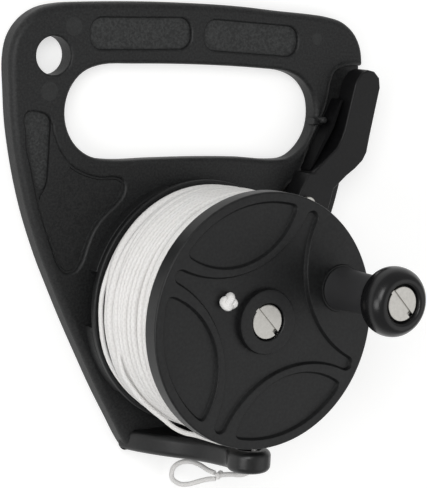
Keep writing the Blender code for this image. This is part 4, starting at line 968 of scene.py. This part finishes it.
knob_boss = lofted("knob_boss", circle(KNOB_PLACE, KNOB_BOSS_RADIUS, 64),
                   [(BOSS_ROOT, 0), (KNOB_BOSS_TOP - 0.0006, 0), (KNOB_BOSS_TOP - 0.0002, 0.0002),
                    (KNOB_BOSS_TOP, 0.0007)])
knob_boss = carved("knob_boss", knob_boss, [knob_socket(FRONT_BASE)])
crisp(add_piece("front_flange", joined("front_flange", [face_mesh, hub_boss, knob_boss]), satin, "drum",
                ["drum_front_flange"]))


# Anchor knot. The line's inner end comes up through the front flange and is knotted there, with its
# cut end pulled into the knot.
ANCHOR_REACH = 0.0023
ANCHOR_THICK = 0.0032
ANCHOR_RISE = 0.0020
ANCHOR_STEM = (-0.0075, -0.0050, -0.0025, 0)
anchor_centre = Vector((*ANCHOR_PLACE, FRONT_TOP - FACE_DEPTH + ANCHOR_RISE))
anchor_route = knot_route(anchor_centre, ANCHOR_REACH, 0.9, 0.35, 72)
anchor_stem = [anchor_centre + Vector((0, 0, height)) for height in ANCHOR_STEM]
anchor_mesh = joined("anchor_knot", [
    cord_mesh("anchor_loop", anchor_route, ANCHOR_THICK, ANCHOR_THICK, UP),
    cord_mesh("anchor_stem", anchor_stem, CORD_THICK, CORD_THICK, ACROSS)])
add_piece("anchor_knot", anchor_mesh, braid, "drum", ["line_anchor_knot"])


# Screws. Turned stainless steel with slotted pan heads: one holds the drum's axle, one the knob and
# one the lever. The lathe leaves fine rings on them, about 0.15 mm apart. They are drawn 0.57 mm apart
# so that they show.
SCREW_SLOT_WIDTH = 0.0018
SCREW_SLOT_DEPTH = 0.0006
NOTCH_DEPTH = 0.0019
NOTCH_REACH = 0.0021
NOTCH_SPREAD = 1.02
SCREW_SLOT_TURN = math.radians(-46)
HEAD_EDGE = 0.0005
TIP_SHARE = 0.2
LATHE_RING_MM = 0.5712
STEEL_CLOUDS_MM = 1.4286
SCREWS = (
    # name, place, tip, head's seat, shank radius, head radius, head height, body, node
    ("axle_bolt", (0, 0), 0.0040, 0.0628, 0.0040, 0.0068, 0.0030, "reel_frame", "axle_screw"),
    ("knob_bolt", KNOB_PLACE, 0.0612, 0.1015, 0.0025, 0.0067, 0.0028, "drum", "knob_screw"),
    ("lever_bolt", LEVER_PIVOT, 0.0028, 0.0197, 0.0020, 0.0035, 0.0022, "reel_frame", "lever_screw"),
)


def lathe_steel(name, centre):
    """Turned stainless steel, with the lathe's rings drawn about a screw's own axis."""
    surface, shader = new_surface(name)
    place = add_node(surface, "ShaderNodeTexCoord")
    middle = add_node(surface, "ShaderNodeMapping", {
        0: place.outputs["Object"], 1: (-centre[0], -centre[1], 0)})
    # A scale of 1 puts the rings math.tau / 20 m apart.
    rings = add_node(surface, "ShaderNodeTexWave", {
        "Vector": middle, "Scale": math.tau / 20 * 1000 / LATHE_RING_MM,
        "Distortion": 1.0, "Detail": 1.0}, wave_type="RINGS", rings_direction="Z")
    clouds = add_node(surface, "ShaderNodeTexNoise", {
        "Vector": middle, "Scale": 1000 / STEEL_CLOUDS_MM, "Detail": 4.0})
    tone = add_node(surface, "ShaderNodeMix", {0: clouds, 6: "#aeaca7", 7: "#d8d6d1"}, data_type="RGBA")
    gloss = add_node(surface, "ShaderNodeMapRange", {0: clouds, 3: 0.30, 4: 0.48})
    bump = add_node(surface, "ShaderNodeBump", {
        "Strength": 0.25, "Distance": 0.00002, "Height": rings.outputs["Fac"]})
    feed(surface, shader, {"Base Color": tone.outputs[2], "Roughness": gloss, "Normal": bump,
                           "Metallic": 1.0})
    return surface


def screw_slot(name, centre, start, end, width, depth, top):
    """A cutter for a slot in a screw's head, from one reach to another."""
    corners = ((start, -width / 2), (end, -width / 2), (end, width / 2), (start, width / 2))
    outline = [Vector(centre) + turned_by(Vector(corner), SCREW_SLOT_TURN) for corner in corners]
    return lofted(name, outline, [(top - depth, 0), (top + OVERRUN, 0)])


def slotted_screw(name, centre, tip, head_base, shank, head_radius, head_height, body, node):
    """A pan-headed screw with a straight slot across its head."""
    top = head_base + head_height
    solid = lofted(name, circle(centre, head_radius, 72), [
        (head_base, 0), (top - HEAD_EDGE, 0), (top - HEAD_EDGE * 0.3, HEAD_EDGE * 0.3), (top, HEAD_EDGE)])
    reach = head_radius + OVERRUN
    head = carved(name, solid, [
        screw_slot("slot_cut", centre, -reach, reach, SCREW_SLOT_WIDTH, SCREW_SLOT_DEPTH, top),
        screw_slot("notch_cut", centre, head_radius - NOTCH_REACH, reach, SCREW_SLOT_WIDTH * NOTCH_SPREAD,
                   NOTCH_DEPTH, top)])
    point = shank * TIP_SHARE
    stem = lofted(name, circle(centre, shank, 40), [(tip, point), (tip + point, 0), (head_base, 0)])
    steel = lathe_steel(name + " stainless steel", centre)
    crisp(add_piece(name, joined(name, [head, stem]), steel, body, [node]), 25)


def refinish(surface, *nodes):
    """Gives its real finish to solids that the scene keeps as they are."""
    for node in nodes:
        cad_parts[node].data.materials.clear()
        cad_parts[node].data.materials.append(surface)


for screw in SCREWS:
    slotted_screw(*screw)

# The sleeves, washers and threaded inserts keep their solids and get their real finishes.
refinish(lathe_steel("ground stainless steel", (0, 0)), "axle_sleeve", "axle_washer_front", "knob_sleeve")

# Free-cutting brass, turned: yellow, with a soft uneven gloss.
BRASS_CLOUDS_MM = 1.1111
brass, brass_shader = new_surface("free-cutting brass")
brass_place = add_node(brass, "ShaderNodeTexCoord")
brass_clouds = add_node(brass, "ShaderNodeTexNoise", {
    "Vector": brass_place.outputs["Object"], "Scale": 1000 / BRASS_CLOUDS_MM})
brass_tone = add_node(brass, "ShaderNodeMix", {
    0: brass_clouds, 6: "#c9a75c", 7: "#e0c27a"}, data_type="RGBA")
brass_gloss = add_node(brass, "ShaderNodeMapRange", {0: brass_clouds, 3: 0.25, 4: 0.40})
feed(brass, brass_shader, {"Base Color": brass_tone.outputs[2], "Roughness": brass_gloss, "Metallic": 1.0})
refinish(brass, "axle_insert", "knob_insert", "lever_insert")

# Natural nylon, stamped from sheet: milky, with a faint grain.
refinish(moulded("natural nylon", "#d4d1c8", "#e4e1d9", 0.5, 0.7, 0.00001), "axle_washer_rear", "knob_washer")


# Winding knob. Polished black plastic, turned smooth: a waisted stem and a ball end with a rolled
# lip, inside which the screw's head sits in a well.
KNOB_RADIUS = 0.0136
KNOB_LENGTH = 0.0387
KNOB_BASE = 0.0665
KNOB_SEAT = 0.1001
KNOB_WELL_RADIUS = 0.0073
KNOB_BORE = 0.0044
KNOB_WELL_SHARE = 0.955
KNOB_PROFILE_SHARES = (
    (0.545, 0.966), (0.580, 0.990), (0.640, 1.000), (0.715, 0.998), (0.800, 0.984), (0.885, 0.954),
    (0.960, 0.910), (0.997, 0.850), (0.992, 0.790), (0.950, 0.740), (0.868, 0.702), (0.745, 0.676),
    (0.640, 0.650), (0.600, 0.610), (0.592, 0.500), (0.598, 0.300), (0.608, 0.150), (0.625, 0.050),
    (0.645, 0.000),
)
STEM_SATIN_TO = 0.0900
BALL_GLOSS_FROM = 0.0945
KNOB_CLOUDS_MM = 11.1111
# Acetal, moulded in one cavity: the ball is deep black with reflections that are a little soft, and
# the stem has the cavity's satin finish and a paler colour that is painted light, lifting it from shade.
gloss_black, gloss_shader = new_surface("polished acetal")
gloss_place = add_node(gloss_black, "ShaderNodeTexCoord")
gloss_clouds = add_node(gloss_black, "ShaderNodeTexNoise", {
    "Vector": gloss_place.outputs["Object"], "Scale": 1000 / KNOB_CLOUDS_MM, "Detail": 3.0})
gloss_split = add_node(gloss_black, "ShaderNodeSeparateXYZ", {0: gloss_place.outputs["Object"]})
gloss_up = add_node(gloss_black, "ShaderNodeMapRange", {
    0: gloss_split.outputs[2], 1: STEM_SATIN_TO, 2: BALL_GLOSS_FROM})
# The stem's paler colour is painted light; the ball keeps the acetal's own black.
stem_painted_light_tone = add_node(gloss_black, "ShaderNodeMix", {
    0: gloss_clouds, 6: "#2a2a2b", 7: "#323233"}, data_type="RGBA")
gloss_ball = add_node(gloss_black, "ShaderNodeMix", {
    0: gloss_clouds, 6: "#0c0c0d", 7: "#121213"}, data_type="RGBA")
gloss_tone = add_node(gloss_black, "ShaderNodeMix", {
    0: gloss_up, 6: stem_painted_light_tone.outputs[2], 7: gloss_ball.outputs[2]}, data_type="RGBA")
gloss_shift = add_node(gloss_black, "ShaderNodeMapRange", {0: gloss_up, 3: 0.30, 4: 0.0})
gloss_rough = add_node(gloss_black, "ShaderNodeMath", {
    0: gloss_clouds, 1: 0.08, 2: 0.22}, operation="MULTIPLY_ADD")
gloss_worn = add_node(gloss_black, "ShaderNodeMath", {0: gloss_rough, 1: gloss_shift}, operation="ADD")
feed(gloss_black, gloss_shader, {"Base Color": gloss_tone.outputs[2], "Roughness": gloss_worn,
                                 "Specular IOR Level": 0.36})

knob_curve = smooth_route([Vector((x * KNOB_RADIUS, KNOB_BASE + y * KNOB_LENGTH))
                           for x, y in KNOB_PROFILE_SHARES], 5)
knob_profile = [(KNOB_BORE, KNOB_SEAT), (KNOB_WELL_RADIUS, KNOB_SEAT),
                (KNOB_WELL_RADIUS, KNOB_BASE + KNOB_LENGTH * KNOB_WELL_SHARE),
                *[tuple(point) for point in knob_curve], (KNOB_BORE, KNOB_BASE)]
crisp(add_piece("winding_knob", turned("winding_knob", knob_profile, 128, KNOB_PLACE), gloss_black, "knob",
                ["knob"]), 40)


# Brake lever. One smooth black moulding that turns on its screw: a foot that bears on the drum's rear
# flange, a cranked arm with a thumb pad, and a thin leaf that springs off the plate's lug.
LEVER_BASE = 0.0093
LEVER_TOP = 0.0194
LEAF_TOP = 0.0164
LEVER_OUTLINE_SHARES = (
    (0.200, -0.107), (0.212, -0.033), (0.250, 0.109), (0.357, 0.203), (0.436, 0.258), (0.499, 0.316),
    (0.531, 0.376), (0.551, 0.497), (0.596, 0.733), (0.619, 0.850), (0.607, 0.922), (0.558, 0.968),
    (0.498, 0.979), (0.443, 0.955), (0.403, 0.903), (0.386, 0.862), (0.317, 0.545), (0.293, 0.479),
    (0.257, 0.410), (0.083, 0.252), (0.062, 0.228), (0.016, 0.224), (-0.062, 0.072),
)
LEAF_OUTLINE_SHARES = (
    (0.060, 0.243), (0.098, 0.278), (0.255, 0.550), (0.322, 0.745), (0.314, 0.759), (0.303, 0.750),
    (0.219, 0.559),
)
# The foot's outline, as gaps to the rear flange's edge and angles. Its inner side follows the edge.
FOOT_OUTLINE = (
    (0.0061, 41.5), *((0.0003, 37 - 13 * step / 8) for step in range(9)), (0.0037, 22.6), (0.0107, 23.3),
)
PIVOT_HOLE_RADIUS = 0.0023
LEVER_LOW_ROUND = 0.0005
LEVER_TOP_ROUND = 0.0008
RIB_PLACES = ((0.0834, 0.0880), (0.0822, 0.0838))
RIB_RADIUS = 0.0009
RIB_SHORTER = 0.0004
RIB_ROUND = 0.0003
LEAF_EDGE = 0.0002
# Acetal from a smooth mould: darker and glossier than the plate, so that its edges catch the light.
lever_plastic = moulded("smooth acetal", "#0e0e0f", "#151516", 0.40, 1.2, 0.00002, 0.26)

foot = [on_ring(FLANGE_RADIUS + gap, angle) for gap, angle in FOOT_OUTLINE]
lever_outline = foot + scaled(LEVER_OUTLINE_SHARES, LEVER_LENGTH, LEVER_LENGTH, LEVER_PIVOT)
lever_levels = rounded_levels(LEVER_BASE, LEVER_TOP, LEVER_LOW_ROUND, LEVER_TOP_ROUND, 4)
pivot_hole = bored("pivot_hole", LEVER_PIVOT, PIVOT_HOLE_RADIUS, 32, LEVER_BASE - OVERRUN, LEVER_TOP)
lever_mesh = carved("thumb_lever", lofted("thumb_lever", lever_outline, lever_levels), [pivot_hole])
rib_levels = rounded_levels(LEVER_BASE + RIB_SHORTER, LEVER_TOP - RIB_SHORTER, RIB_ROUND, RIB_ROUND, 2)
thumb_ribs = [lofted("thumb_rib", circle(place, RIB_RADIUS, 16), rib_levels) for place in RIB_PLACES]
crisp(add_piece("brake_lever", joined("brake_lever", [lever_mesh, *thumb_ribs]), lever_plastic, "lever",
                ["thumb_lever"]))

leaf_outline = scaled(LEAF_OUTLINE_SHARES, LEVER_LENGTH, LEVER_LENGTH, LEVER_PIVOT)
leaf_mesh = lofted("spring_leaf", leaf_outline, chamfered(LEVER_BASE, LEAF_TOP, LEAF_EDGE))
# The leaf is the same acetal, coloured darker than the lever as painted shade, with a duller, weaker gloss.
leaf_painted_shade_plastic = moulded("acetal darkened as painted shade", "#080809", "#0e0e0f", 0.55, 1.2, 0.00002, 0.06)
leaf = crisp(add_piece("spring_leaf", leaf_mesh, leaf_painted_shade_plastic, None, ["lever_leaf"]))
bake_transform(leaf)
